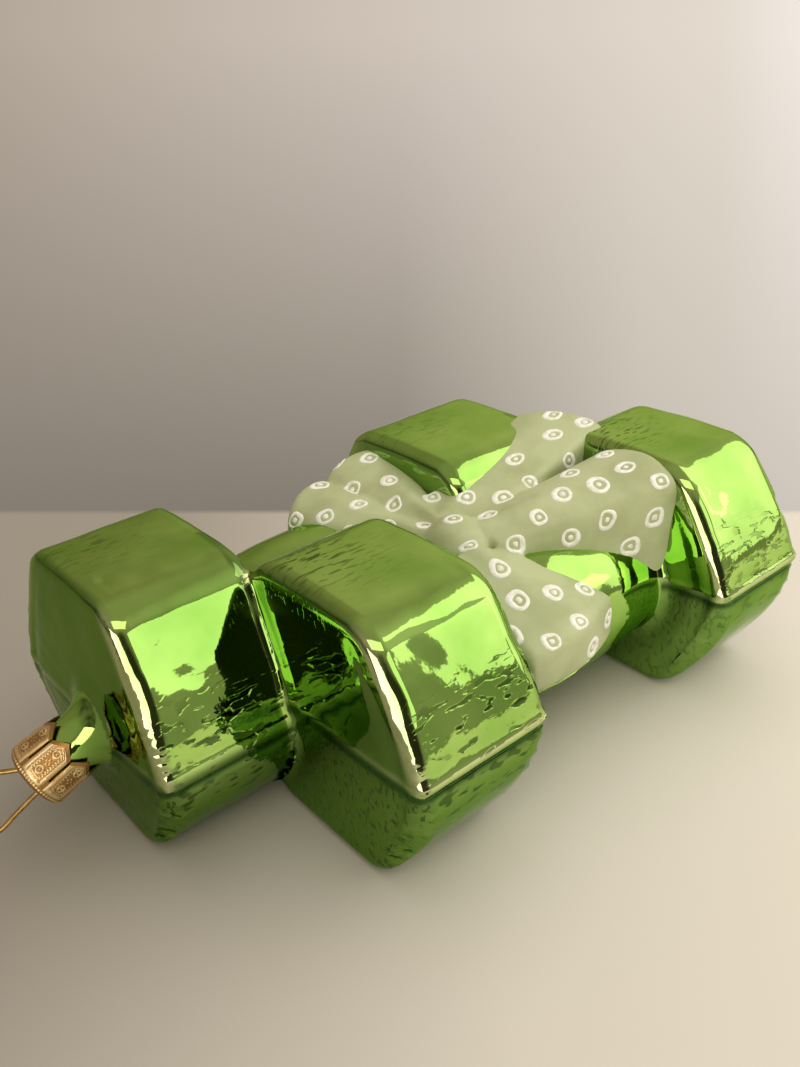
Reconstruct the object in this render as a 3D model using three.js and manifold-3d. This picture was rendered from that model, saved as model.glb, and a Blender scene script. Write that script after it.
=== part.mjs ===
// A blown glass tree ornament in the shape of two hexagonal dumbbells tied with a bow.
// Millimetres, +Z up. The dumbbells lie along X, side by side and staggered by one head, on z = 0.

import * as THREE from 'three';
import { mergeVertices } from 'three/addons/utils/BufferGeometryUtils.js';
import { ConvexGeometry } from 'three/addons/geometries/ConvexGeometry.js';
import Module from 'manifold-3d';

const wasm = await Module();
wasm.setup();

// Heads: hexagonal blocks with two corners on the mould's parting line
const headWidth = 51.6;
const headFlatWidth = 26.3;
const headHeight = 48.5;
const headLength = 25.5;
const headEndDraft = 1.1;
const headEdgeRadius = 3.5;

// Layout of the two dumbbells
const dumbbellLength = 100;
const dumbbellSpacing = 32;
const dumbbellStagger = 25;
const partingHeightA = 22.6;
const partingHeightB = 27.0;

// Handles: barrels that swell in the middle
const handleEndRadius = 13.1;
const handleMiddleRadius = 15;
const handleOverlap = 3;

// Junctions, where a head of one dumbbell is fused to a head of the other
const junctionLength = 7;
const junctionShare = 0.86;
const junctionEdgeRadius = 2.5;

// Glass and enamel
const glassWall = 1.0;
const enamelGap = 0.3;
const enamelThickness = 0.5;

// Bow: its walls run down to the middle of the handles and tuck in below it
const bowTuckDepth = 6;
const bowTuckShare = 0.45;
const lobeCrown = 1.8;
const lobeTipLength = 1.8;
const lobeEdgeDrop = 2.2;
const knotLength = 14;
const knotWidth = 16;
const knotHeight = 12.4;
const knotSink = 1.75;
const knotOffCentreX = 0.5;
const knotOffCentreY = 4.5;

// Neck: a glass tube that leaves the end face of the first head, tilted down
const neckOffCentreY = 4.3;
const neckOffCentreZ = 0.65;
const neckTilt = 28;
const neckYaw = 12;
const neckOuterRadius = 4.9;
const neckLength = 14.3;
const neckFlareRadius = 3.6;
const neckRootDepth = 4;

// Crown cap
const capRimRadius = 6.1;
const capTipRadius = 5.75;
const capSheet = 0.45;
const capHeight = 9.3;
const capSeatGap = 0.5;
const capRimRound = 0.55;
const capTabs = 7;
const capSlitWidth = 0.35;
const capSlitLength = 6.4;
const capTabPoint = 1.9;
const capSkirtBend = 3.1;
const capNotchRunOut = 0.4;

// Wire hanger
const wireRadius = 0.45;
const wireHoleClearance = 0.3;
const wireHoleSpacing = 4.6;
const wireHoleRoll = 38;
const wireLegLength = 11;
const wireLegStraight = 5.2;
const wireLegFoot = 1.65;
const wireBoreClearance = 0.35;
const wireRise = 0.5;
const loopRadius = 5.1;
const loopCentreDistance = 8.4;
const loopLean = 12.5;
const loopOpenAngle = 35;

// Fineness of the round shapes
const ballSides = 12;
const ballRings = 8;
const barrelSides = 24;
const barrelSteps = 6;
const knotSides = 18;
const knotRings = 10;
const lobeStepsAlong = 8;
const lobeStepsAcross = 6;
const neckSides = 24;
const flareSteps = 3;
const capSidesPerTab = 6;
const holeSides = 12;
const wireSteps = 70;
const loopPoints = 11;
const sliverSize = 0.004;

// Solids

/** Makes a solid for cutting and joining from a closed geometry. */
function toSolid(geometry) {
  const bare = geometry.clone();
  bare.deleteAttribute('normal');
  bare.deleteAttribute('uv');
  const merged = mergeVertices(bare, 1e-4);
  const vertProperties = new Float32Array(merged.getAttribute('position').array);
  const triVerts = new Uint32Array(merged.getIndex().array);
  return new wasm.Manifold(new wasm.Mesh({ numProp: 3, vertProperties, triVerts }));
}

/** Makes a geometry from a solid, without the slivers that its cuts left. */
function toGeometry(solid) {
  const mesh = solid.getMesh();
  const raw = new THREE.BufferGeometry();
  raw.setAttribute('position', new THREE.BufferAttribute(new Float32Array(mesh.vertProperties), 3));
  raw.setIndex(new THREE.BufferAttribute(new Uint32Array(mesh.triVerts), 1));
  const geometry = mergeVertices(raw, sliverSize);
  const corners = geometry.getIndex().array;
  const kept = [];
  for (let i = 0; i < corners.length; i += 3) {
    const [a, b, c] = corners.slice(i, i + 3);
    if (a !== b && b !== c && c !== a) kept.push(a, b, c);
  }
  geometry.setIndex(kept);
  geometry.computeVertexNormals();
  return geometry;
}

/** Joins a list of solids. */
function join(solids) {
  return solids.reduce((whole, solid) => whole.add(solid));
}

/** Wraps one ball per corner in a convex hull: a block with rounded edges. */
function roundedHull(corners, radius) {
  const points = [];
  const ball = new THREE.SphereGeometry(radius, ballSides, ballRings);
  ball.rotateX(Math.PI / 2);
  const position = ball.getAttribute('position');
  for (const corner of corners) {
    for (let i = 0; i < position.count; i += 1) {
      points.push(new THREE.Vector3().fromBufferAttribute(position, i).add(corner));
    }
  }
  return toSolid(new ConvexGeometry(points));
}

// Heads and junctions

const dumbbellA = { axisY: dumbbellSpacing / 2, shift: -dumbbellStagger / 2, parting: partingHeightA };
const dumbbellB = { axisY: -dumbbellSpacing / 2, shift: dumbbellStagger / 2, parting: partingHeightB };
const headReach = (dumbbellLength - headLength) / 2;
const headMiddle = headHeight / 2;

/** One head of a dumbbell; side is -1 or 1 along X, grow moves its whole surface outwards. */
function headSolid(dumbbell, side, grow) {
  const centreX = dumbbell.shift + side * headReach;
  const r = headEdgeRadius;
  const corners = [];
  const seamHalf = headWidth / 2;
  const flatHalf = headFlatWidth / 2;
  for (const level of [0, headHeight]) {
    const rise = Math.abs(level - dumbbell.parting);
    const slope = Math.hypot(rise, seamHalf - flatHalf);
    const normalY = rise / slope;
    const normalZ = (seamHalf - flatHalf) / slope;
    const flatY = flatHalf - r * (1 - normalZ) / normalY;
    const flatZ = level === 0 ? r : headHeight - r;
    const seamY = seamHalf - r / normalY;
    for (const ySide of [-1, 1]) {
      for (const xSide of [-1, 1]) {
        const flatX = centreX + xSide * (headLength / 2 - headEndDraft - r);
        const seamX = centreX + xSide * (headLength / 2 - r);
        corners.push(new THREE.Vector3(flatX, dumbbell.axisY + ySide * flatY, flatZ));
        corners.push(new THREE.Vector3(seamX, dumbbell.axisY + ySide * seamY, dumbbell.parting));
      }
    }
  }
  return roundedHull(corners, r + grow);
}

/** The fused glass between two heads that meet end to end, side by side. */
function junctionSolid(side, grow) {
  const meetX = side * (headReach - headLength / 2 + dumbbellStagger / 2);
  const overlapHalf = (headWidth - dumbbellSpacing) / 2;
  const shareOfSlope = (dumbbellSpacing - headFlatWidth) / (headWidth - headFlatWidth);
  const reachZ = headMiddle * (1 - shareOfSlope);
  const r = junctionEdgeRadius;
  const halfX = junctionLength / 2 - r;
  const corners = [];
  for (const xSide of [-1, 1]) {
    const x = meetX + xSide * halfX;
    for (const [y, z] of [[1, 0], [-1, 0], [0, 1], [0, -1]]) {
      const cornerY = y * (overlapHalf * junctionShare - r);
      const cornerZ = headMiddle + z * (reachZ * junctionShare - r);
      corners.push(new THREE.Vector3(x, cornerY, cornerZ));
    }
  }
  return roundedHull(corners, r + grow);
}

// Handles

/** The barrel handle of a dumbbell. */
function handleSolid(dumbbell, grow) {
  const bare = dumbbellLength / 2 - headLength;
  const half = bare + headEndDraft + handleOverlap;
  const profile = [new THREE.Vector2(0, -half)];
  for (let i = 0; i <= barrelSteps; i += 1) {
    const along = half * (-1 + (2 * i) / barrelSteps);
    const radius = handleMiddleRadius - (handleMiddleRadius - handleEndRadius) * (along / bare) ** 2;
    profile.push(new THREE.Vector2(radius + grow, along));
  }
  profile.push(new THREE.Vector2(0, half));
  const barrel = new THREE.LatheGeometry(profile, barrelSides);
  barrel.rotateZ(-Math.PI / 2);
  barrel.translate(dumbbell.shift, dumbbell.axisY, headMiddle);
  return toSolid(barrel);
}

// Bow

const handleTop = headMiddle + handleMiddleRadius;
const farHeadFace = headReach - headLength / 2 + dumbbellStagger / 2;

/**
 * A corner of a lobe. along is a share of the way to the far heads, across a share of the way to
 * the handles' axes, and rise a share of the step from the handles' tops up to the heads' tops.
 */
function overHandles(along, across, rise) {
  return new THREE.Vector3(
    along * farHeadFace,
    across * dumbbellA.axisY,
    handleTop + rise * (headHeight - handleTop),
  );
}

/** The same, but across starts from the near edge of the first dumbbell's flat tops. */
function overTopEdge(along, across, rise) {
  const corner = overHandles(along, across, rise);
  corner.y += dumbbellA.axisY - headFlatWidth / 2;
  return corner;
}

const lobes = {
  leftLoopOuter: {
    root: [overHandles(-0.16, -0.19, 0.19), overHandles(0.03, 0.06, 0.3)],
    tip: [overHandles(-0.41, 1.56, -0.08), overHandles(-0.03, 1.81, 0.35)],
  },
  leftLoopInner: {
    root: [overHandles(-0.03, 0, 0.24), overHandles(0.12, 0.03, 0.3)],
    tip: [overHandles(-0.08, 1.78, 0.3), overHandles(0.314, 1.56, 0.75)],
  },
  upperTail: {
    root: [overTopEdge(0.135, -0.18, 0.3), overTopEdge(0.135, -0.62, 0.3)],
    tip: [overTopEdge(0.93, 0.3, 1.27), overTopEdge(1.16, -0.62, 1.27)],
  },
  rightLoop: {
    root: [overHandles(0.11, -0.375, 0.3), overHandles(0.05, -1.06, 0.14)],
    tip: [overHandles(1.07, -0.56, 1.11), overHandles(1.046, -1.875, 0.78)],
  },
  lowerTail: {
    root: [overHandles(0.08, -0.94, 0.19), overHandles(-0.16, -0.75, 0.19)],
    tip: [overHandles(0.527, -1.875, -0.84), overHandles(-0.243, -2.19, -0.95)],
  },
};

/** A point on a lobe's upper side. u runs from root to tip, v from its left edge to its right edge. */
function lobePoint(lobe, u, v, grow) {
  const root = lobe.root[0].clone().lerp(lobe.root[1], v);
  const tip = lobe.tip[0].clone().lerp(lobe.tip[1], v);
  const outward = tip.clone().sub(root).setZ(0).normalize();
  const point = root.lerp(tip, u);
  const across = 1 - (2 * v - 1) ** 2;
  point.addScaledVector(outward, lobeTipLength * Math.max(u, 0) ** 2 * across);
  const edge = Math.min(1, Math.max(Math.abs(2 * v - 1), 2 * u - 1));
  point.z += lobeCrown * across - lobeEdgeDrop * edge ** 4 + grow;
  return point;
}

/** One lobe of the bow as a closed solid, with walls down to the middle of the handles. */
function lobeSolid(lobe, grow) {
  const stepsU = lobeStepsAlong;
  const stepsV = lobeStepsAcross;
  const length = lobePoint(lobe, 0, 0.5, 0).distanceTo(lobePoint(lobe, 1, 0.5, 0));
  const positions = [];
  const indices = [];
  const add = (x, y, z) => positions.push(x, y, z) / 3 - 1;
  const top = [];
  for (let i = 0; i <= stepsU; i += 1) {
    const u = (i / stepsU) * (1 + (2 * grow) / length) - grow / length;
    const width = lobePoint(lobe, u, 0, 0).distanceTo(lobePoint(lobe, u, 1, 0));
    const row = [];
    for (let j = 0; j <= stepsV; j += 1) {
      const v = (j / stepsV) * (1 + (2 * grow) / width) - grow / width;
      const point = lobePoint(lobe, u, v, grow);
      row.push(add(point.x, point.y, point.z));
    }
    top.push(row);
  }
  for (let i = 0; i < stepsU; i += 1) {
    for (let j = 0; j < stepsV; j += 1) {
      indices.push(top[i][j], top[i + 1][j + 1], top[i + 1][j]);
      indices.push(top[i][j], top[i][j + 1], top[i + 1][j + 1]);
    }
  }
  const rim = [];
  for (let i = 0; i < stepsU; i += 1) rim.push(top[i][0]);
  for (let j = 0; j < stepsV; j += 1) rim.push(top[stepsU][j]);
  for (let i = stepsU; i > 0; i -= 1) rim.push(top[i][stepsV]);
  for (let j = stepsV; j > 0; j -= 1) rim.push(top[0][j]);
  const middle = lobePoint(lobe, 0.5, 0.5, 0);
  const foot = headMiddle - bowTuckDepth - grow;
  const share = bowTuckShare;
  const parting = [];
  const tucked = [];
  for (const index of rim) {
    const x = positions[3 * index];
    const y = positions[3 * index + 1];
    parting.push(add(x, y, headMiddle));
    tucked.push(add(middle.x + (x - middle.x) * share, middle.y + (y - middle.y) * share, foot));
  }
  const centre = add(middle.x, middle.y, foot);
  for (let k = 0; k < rim.length; k += 1) {
    const next = (k + 1) % rim.length;
    indices.push(rim[k], parting[next], parting[k], rim[k], rim[next], parting[next]);
    indices.push(parting[k], tucked[next], tucked[k], parting[k], parting[next], tucked[next]);
    indices.push(centre, tucked[k], tucked[next]);
  }
  const geometry = new THREE.BufferGeometry();
  geometry.setAttribute('position', new THREE.Float32BufferAttribute(positions, 3));
  geometry.setIndex(indices);
  return toSolid(geometry);
}

/** The knot over the valley between the handles. */
function knotSolid(grow) {
  const ball = new THREE.SphereGeometry(1, knotSides, knotRings);
  ball.rotateX(Math.PI / 2);
  ball.scale(knotLength / 2 + grow, knotWidth / 2 + grow, knotHeight / 2 + grow);
  ball.translate(knotOffCentreX, -knotOffCentreY, handleTop - knotSink);
  return toSolid(ball);
}

/** The whole relief of the bow. */
function bowSolid(grow) {
  return join([knotSolid(grow), ...Object.values(lobes).map((lobe) => lobeSolid(lobe, grow))]);
}

// Neck

const degrees = THREE.MathUtils.degToRad;
const neckRoot = new THREE.Vector3(
  dumbbellA.shift - dumbbellLength / 2,
  dumbbellA.axisY - neckOffCentreY,
  headMiddle - neckOffCentreZ,
);
const neckAxis = new THREE.Vector3(
  -Math.cos(degrees(neckTilt)) * Math.cos(degrees(neckYaw)),
  Math.cos(degrees(neckTilt)) * Math.sin(degrees(neckYaw)),
  -Math.sin(degrees(neckTilt)),
);
const levelAcross = new THREE.Vector3().crossVectors(neckAxis, new THREE.Vector3(0, 0, 1)).normalize();
const wireLine = levelAcross.clone().applyAxisAngle(neckAxis, -degrees(wireHoleRoll));
const neckMatrix = new THREE.Matrix4().makeBasis(
  wireLine,
  new THREE.Vector3().crossVectors(neckAxis, wireLine),
  neckAxis,
);
neckMatrix.setPosition(neckRoot);

/** The neck's tube with its flare at the root, along its own +Z from the head's end face. */
function neckSolid(grow, length) {
  const profile = [new THREE.Vector2(0, -neckRootDepth)];
  const radius = neckOuterRadius + grow;
  const flare = neckFlareRadius;
  profile.push(new THREE.Vector2(radius + flare, -neckRootDepth));
  for (let i = 0; i <= flareSteps; i += 1) {
    const angle = (i / flareSteps) * (Math.PI / 2);
    profile.push(new THREE.Vector2(
      radius + flare * (1 - Math.sin(angle)),
      grow + flare * (1 - Math.cos(angle)),
    ));
  }
  profile.push(new THREE.Vector2(radius, length));
  profile.push(new THREE.Vector2(0, length));
  const tube = new THREE.LatheGeometry(profile, neckSides);
  tube.rotateX(Math.PI / 2);
  tube.applyMatrix4(neckMatrix);
  return toSolid(tube);
}

// Glass body and enamel

/** The ornament's outer form, moved outwards by grow, without its neck. */
function bodyForm(grow) {
  const parts = [bowSolid(grow)];
  for (const dumbbell of [dumbbellA, dumbbellB]) {
    parts.push(handleSolid(dumbbell, grow));
    for (const side of [-1, 1]) parts.push(headSolid(dumbbell, side, grow));
  }
  for (const side of [-1, 1]) parts.push(junctionSolid(side, grow));
  return join(parts);
}

const neckBoreRadius = neckOuterRadius - glassWall;
const outerForm = bodyForm(0).add(neckSolid(0, neckLength));
const innerForm = bodyForm(-glassWall).add(neckSolid(-glassWall, neckLength + glassWall));
const glassBody = outerForm.subtract(innerForm);

const lowerHalf = new THREE.BoxGeometry(2 * dumbbellLength, 2 * dumbbellLength, headHeight);
const bowEnamel = bowSolid(enamelGap + enamelThickness)
  .subtract(bodyForm(enamelGap))
  .subtract(toSolid(lowerHalf));

// Crown cap, in the neck's own frame

const capTop = neckLength + capSeatGap + capSheet;
const capTips = capTop - capHeight;

/** The stamped cap: a disc and a skirt, cut into pointed tabs, with two holes for the wire. */
function capSolid() {
  const profile = [
    [0, capTop],
    [capRimRadius - capRimRound, capTop],
    [capRimRadius, capTop - capRimRound],
    [capRimRadius, capTop - capSkirtBend],
    [capTipRadius, capTips],
    [capTipRadius - capSheet, capTips],
    [capRimRadius - capSheet, capTop - capSkirtBend],
    [capRimRadius - capSheet, capTop - capRimRound - capSheet],
    [capRimRadius - capRimRound - capSheet / 2, capTop - capSheet],
    [0, capTop - capSheet],
  ].map(([radius, height]) => new THREE.Vector2(radius, height));
  const shell = new THREE.LatheGeometry(profile.reverse(), capTabs * capSidesPerTab);
  shell.rotateX(Math.PI / 2);
  let cap = toSolid(shell);
  const slit = new THREE.BoxGeometry(capRimRadius, capSlitWidth, capSlitLength * 2);
  slit.translate(capRimRadius, 0, capTips);
  const tabHalf = (Math.PI * capTipRadius) / capTabs;
  const notchHalf = tabHalf * (1 + capNotchRunOut);
  const notchFoot = capTips - capTabPoint * capNotchRunOut;
  const notchShape = new THREE.Shape();
  notchShape.moveTo(-notchHalf, notchFoot);
  notchShape.lineTo(notchHalf, notchFoot);
  notchShape.lineTo(0, capTips + capTabPoint);
  notchShape.closePath();
  const notch = new THREE.ExtrudeGeometry(notchShape, { depth: capRimRadius, bevelEnabled: false });
  notch.rotateX(Math.PI / 2);
  notch.rotateZ(Math.PI / 2);
  notch.translate(capRimRadius / 2, 0, 0);
  for (let i = 0; i < capTabs; i += 1) {
    const turn = ((i + 0.5) / capTabs) * 2 * Math.PI;
    cap = cap.subtract(toSolid(slit.clone().rotateZ(turn)));
    cap = cap.subtract(toSolid(notch.clone().rotateZ(turn)));
  }
  for (const side of [-1, 1]) {
    const hole = new THREE.CylinderGeometry(
      wireRadius + wireHoleClearance,
      wireRadius + wireHoleClearance,
      2 * capHeight,
      holeSides,
    );
    hole.rotateX(Math.PI / 2);
    hole.translate(side * wireHoleSpacing / 2, 0, capTop - capSheet / 2);
    cap = cap.subtract(toSolid(hole));
  }
  return cap;
}

// Wire hanger, in the neck's own frame

/** The wire's centre line: a leg, the loop and the other leg, in the plane y = 0. */
function wirePath() {
  const legTip = neckBoreRadius - wireBoreClearance - wireRadius;
  const hole = wireHoleSpacing / 2;
  const leg = (side) => [
    new THREE.Vector3(side * legTip, 0, capTop - wireLegLength),
    new THREE.Vector3(side * legTip, 0, capTop - wireLegLength + wireLegFoot),
    new THREE.Vector3(side * hole, 0, capTop - wireLegStraight),
    new THREE.Vector3(side * hole, 0, capTop - wireLegStraight / 2),
    new THREE.Vector3(side * hole, 0, capTop + wireRise),
  ];
  const loop = [];
  const start = degrees(-loopOpenAngle);
  const sweep = Math.PI + 2 * degrees(loopOpenAngle);
  const pivot = new THREE.Vector3(0, 0, capTop + wireRise);
  const leanAxis = new THREE.Vector3(0, 1, 0);
  for (let i = 0; i < loopPoints; i += 1) {
    const angle = start + (sweep * i) / (loopPoints - 1);
    const point = new THREE.Vector3(
      loopRadius * Math.cos(angle),
      0,
      loopCentreDistance + loopRadius * Math.sin(angle),
    );
    loop.push(point.applyAxisAngle(leanAxis, degrees(loopLean)).add(pivot));
  }
  return new THREE.CatmullRomCurve3([...leg(1), ...loop, ...leg(-1).reverse()]);
}

/** The wire as a round bar along its centre line. */
function wireGeometry() {
  const section = new THREE.Shape();
  section.absarc(0, 0, wireRadius, 0, 2 * Math.PI);
  return new THREE.ExtrudeGeometry(section, {
    extrudePath: wirePath(),
    steps: wireSteps,
    curveSegments: 4,
  });
}

// Assembly

/** Makes a named mesh with its own material. */
function piece(name, geometry, color, roughness, metalness) {
  const material = new THREE.MeshStandardMaterial({ color, roughness, metalness });
  const mesh = new THREE.Mesh(geometry, material);
  mesh.name = name;
  return mesh;
}

const crown = new THREE.Group();
neckMatrix.decompose(crown.position, crown.quaternion, crown.scale);
crown.add(piece('crown_cap', toGeometry(capSolid()), 0xb8905a, 0.35, 1));
crown.add(piece('wire_hanger', wireGeometry(), 0xa98a4e, 0.3, 1));

const ornament = new THREE.Group();
ornament.add(piece('glass_body', toGeometry(glassBody), 0x6f9c2c, 0.06, 0.9));
ornament.add(piece('bow_enamel', toGeometry(bowEnamel), 0x9fae7c, 0.55, 0));
ornament.add(crown);

// The origin is under the middle of the whole ornament, at the level that it rests on
const extent = new THREE.Box3().setFromObject(ornament, true);
const middle = extent.getCenter(new THREE.Vector3());
ornament.position.set(-middle.x, -middle.y, -extent.min.z);

export default ornament;
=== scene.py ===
"""Blown glass tree ornament: two hexagonal dumbbells tied with a painted bow.

Sizes are written in millimetres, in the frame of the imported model, and become metres when a
mesh is finished. The dumbbells lie along X, side by side and staggered by one head.
"""

import logging
import math
import random
from dataclasses import dataclass, field
from enum import Enum
from typing import Iterable, Sequence

import bmesh
import bpy
import numpy as np
from mathutils import Matrix, Vector
from mathutils.bvhtree import BVHTree


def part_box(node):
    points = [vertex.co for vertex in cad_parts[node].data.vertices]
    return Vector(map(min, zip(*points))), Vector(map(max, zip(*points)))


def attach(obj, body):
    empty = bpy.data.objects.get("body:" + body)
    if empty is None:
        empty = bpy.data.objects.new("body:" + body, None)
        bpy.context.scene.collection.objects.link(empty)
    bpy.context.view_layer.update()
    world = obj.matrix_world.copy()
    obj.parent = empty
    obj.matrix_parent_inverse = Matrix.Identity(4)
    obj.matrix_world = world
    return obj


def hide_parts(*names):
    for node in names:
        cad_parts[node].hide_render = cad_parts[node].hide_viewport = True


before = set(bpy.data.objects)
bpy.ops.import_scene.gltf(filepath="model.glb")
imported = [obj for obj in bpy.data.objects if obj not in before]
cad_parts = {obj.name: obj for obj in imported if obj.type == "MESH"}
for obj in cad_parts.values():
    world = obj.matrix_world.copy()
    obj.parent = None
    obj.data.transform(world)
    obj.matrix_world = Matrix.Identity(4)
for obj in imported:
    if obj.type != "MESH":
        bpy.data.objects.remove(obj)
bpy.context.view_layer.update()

MM = 0.001
SEED = 11
log = logging.getLogger("ornament")

Points = np.ndarray
Solid = bmesh.types.BMesh
Piece = bpy.types.Object
Socket = bpy.types.NodeSocket
Tree = bpy.types.NodeTree
Pair = tuple[float, float]
Triple = tuple[float, float, float]
Stops = tuple[tuple[float, str], ...]


class Body(Enum):
    """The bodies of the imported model."""

    GLASS = "glass"
    CAP = "cap"
    HANGER = "hanger"


class Node(Enum):
    """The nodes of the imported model."""

    GLASS_BODY = "glass_body"
    BOW_ENAMEL = "bow_enamel"
    CROWN_CAP = "crown_cap"
    WIRE_HANGER = "wire_hanger"


# Colours and shader nodes


def linear(code: str) -> tuple[float, float, float, float]:
    """Turns an sRGB hex colour into linear light.

    Args:
        code: A # and six hex digits.

    Returns:
        Red, green and blue in linear light, and an alpha of 1.
    """
    channels = [int(code[i:i + 2], 16) / 255 for i in (1, 3, 5)]
    light = [c / 12.92 if c <= 0.04045 else ((c + 0.055) / 1.055) ** 2.4 for c in channels]
    return (*light, 1.0)


def emptied(owner: bpy.types.Material | bpy.types.World) -> Tree:
    """Empties the node tree of a material or a world.

    Args:
        owner: The material or the world.

    Returns:
        Its node tree.
    """
    owner.use_nodes = True
    owner.node_tree.nodes.clear()
    return owner.node_tree


def add_node(tree: Tree, kind: str, links: dict | None = None, stops: Stops = (), **settings) -> bpy.types.Node:
    """Adds a node with its settings and its incoming links.

    Args:
        tree: The node tree.
        kind: The node's type name without ShaderNode, such as TexNoise.
        links: Input name or number to an output socket or a plain value.
        stops: Where it maps a factor to colours, each position and hex colour in order.
        settings: Properties of the node.

    Returns:
        The new node.
    """
    made = tree.nodes.new("ShaderNode" + kind)
    for name, value in settings.items():
        setattr(made, name, value)
    for key, value in (links or {}).items():
        socket = made.inputs[key]
        if isinstance(value, Socket):
            tree.links.new(value, socket)
        else:
            socket.default_value = value
    elements = made.color_ramp.elements if stops else ()
    while len(elements) < len(stops):
        elements.new(0.5)
    for element, (position, code) in zip(elements, stops):
        element.position = position
        element.color = linear(code)
    return made


# Finishes


@dataclass(frozen=True)
class Finish:
    """A finish: its tones in uneven patches, its gloss, its clear coat, and a fine relief.

    The tones are positions in the patches and hex colours. The grain is the distance from crest
    to crest and the height. The coat is its weight, roughness and index.
    """

    name: str
    tones: Stops
    patch_mm: float
    patch_detail: float
    roughness: float
    grain_mm: Pair
    grain_stretch: Triple = (1, 1, 1)
    metallic: float = 0.0
    coat: Triple = (0.0, 0.03, 1.5)

    def material(self) -> bpy.types.Material:
        """Makes the material with its shader and its bump.

        Returns:
            The material.
        """
        made = bpy.data.materials.new(self.name)
        tree = emptied(made)
        place = add_node(tree, "TexCoord").outputs["Object"]
        shader = add_node(tree, "BsdfPrincipled", {
            "Base Color": self.tint(tree, place),
            "Normal": self.normal(tree, place),
            "Metallic": self.metallic,
            "Roughness": self.roughness,
            **dict(zip(("Coat Weight", "Coat Roughness", "Coat IOR"), self.coat)),
            **self.extras(),
        })
        add_node(tree, "OutputMaterial", {"Surface": shader.outputs["BSDF"]})
        return made

    def extras(self) -> dict:
        """What the shader's other sockets get."""
        return {}

    def tint(self, tree: Tree, place: Socket) -> Socket:
        """The colour at each place, in two tones that run into each other.

        Args:
            tree: The material's node tree.
            place: Object coordinates, in metres.

        Returns:
            The colour.
        """
        patches = add_node(tree, "TexNoise", {
            "Vector": place,
            "Scale": 1 / (self.patch_mm * MM),
            "Detail": self.patch_detail,
        })
        return add_node(tree, "ValToRGB", {"Fac": patches.outputs["Fac"]}, self.tones).outputs["Color"]

    def normal(self, tree: Tree, place: Socket) -> Socket:
        """The bumped normal at each place."""
        wave, height = self.grain_mm
        return self.layered(tree, [(self.relief(tree, place, wave, stretch=self.grain_stretch), height)])

    @staticmethod
    def relief(tree: Tree, place: Socket, wave_mm: float, detail: float = 2.0, stretch: Triple = (1, 1, 1),
               cut: Pair = (0.0, 1.0), share: Socket | float = 1.0) -> Socket:
        """Adds a pattern of uneven heights between 0 and 1.

        Args:
            tree: The material's node tree.
            place: Object coordinates, in metres.
            wave_mm: The distance from crest to crest.
            detail: How many finer octaves ride on it.
            stretch: How much finer the pattern is along X, Y and Z.
            cut: The pattern's values that become the foot and the crest.
            share: How much of the pattern shows at each place.

        Returns:
            The heights.
        """
        squeezed = add_node(tree, "Mapping", {"Vector": place, "Scale": stretch})
        pattern = add_node(tree, "TexNoise", {
            "Vector": squeezed.outputs["Vector"],
            "Scale": 1 / (wave_mm * MM),
            "Detail": detail,
        })
        return add_node(tree, "MapRange", {
            "Value": pattern.outputs["Fac"],
            "From Min": cut[0],
            "From Max": cut[1],
            "To Max": share,
        }).outputs["Result"]

    @staticmethod
    def layered(tree: Tree, layers: Sequence[tuple[Socket, float]]) -> Socket:
        """Lays one relief on the other.

        Args:
            tree: The material's node tree.
            layers: From the lowest, each pattern and the height of its crests in millimetres.

        Returns:
            The bumped normal.
        """
        under = {}
        for pattern, height_mm in layers:
            links = {"Height": pattern, "Distance": height_mm * MM, "Strength": 1.0}
            under = {"Normal": add_node(tree, "Bump", links | under).outputs["Normal"]}
        return under["Normal"]


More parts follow.
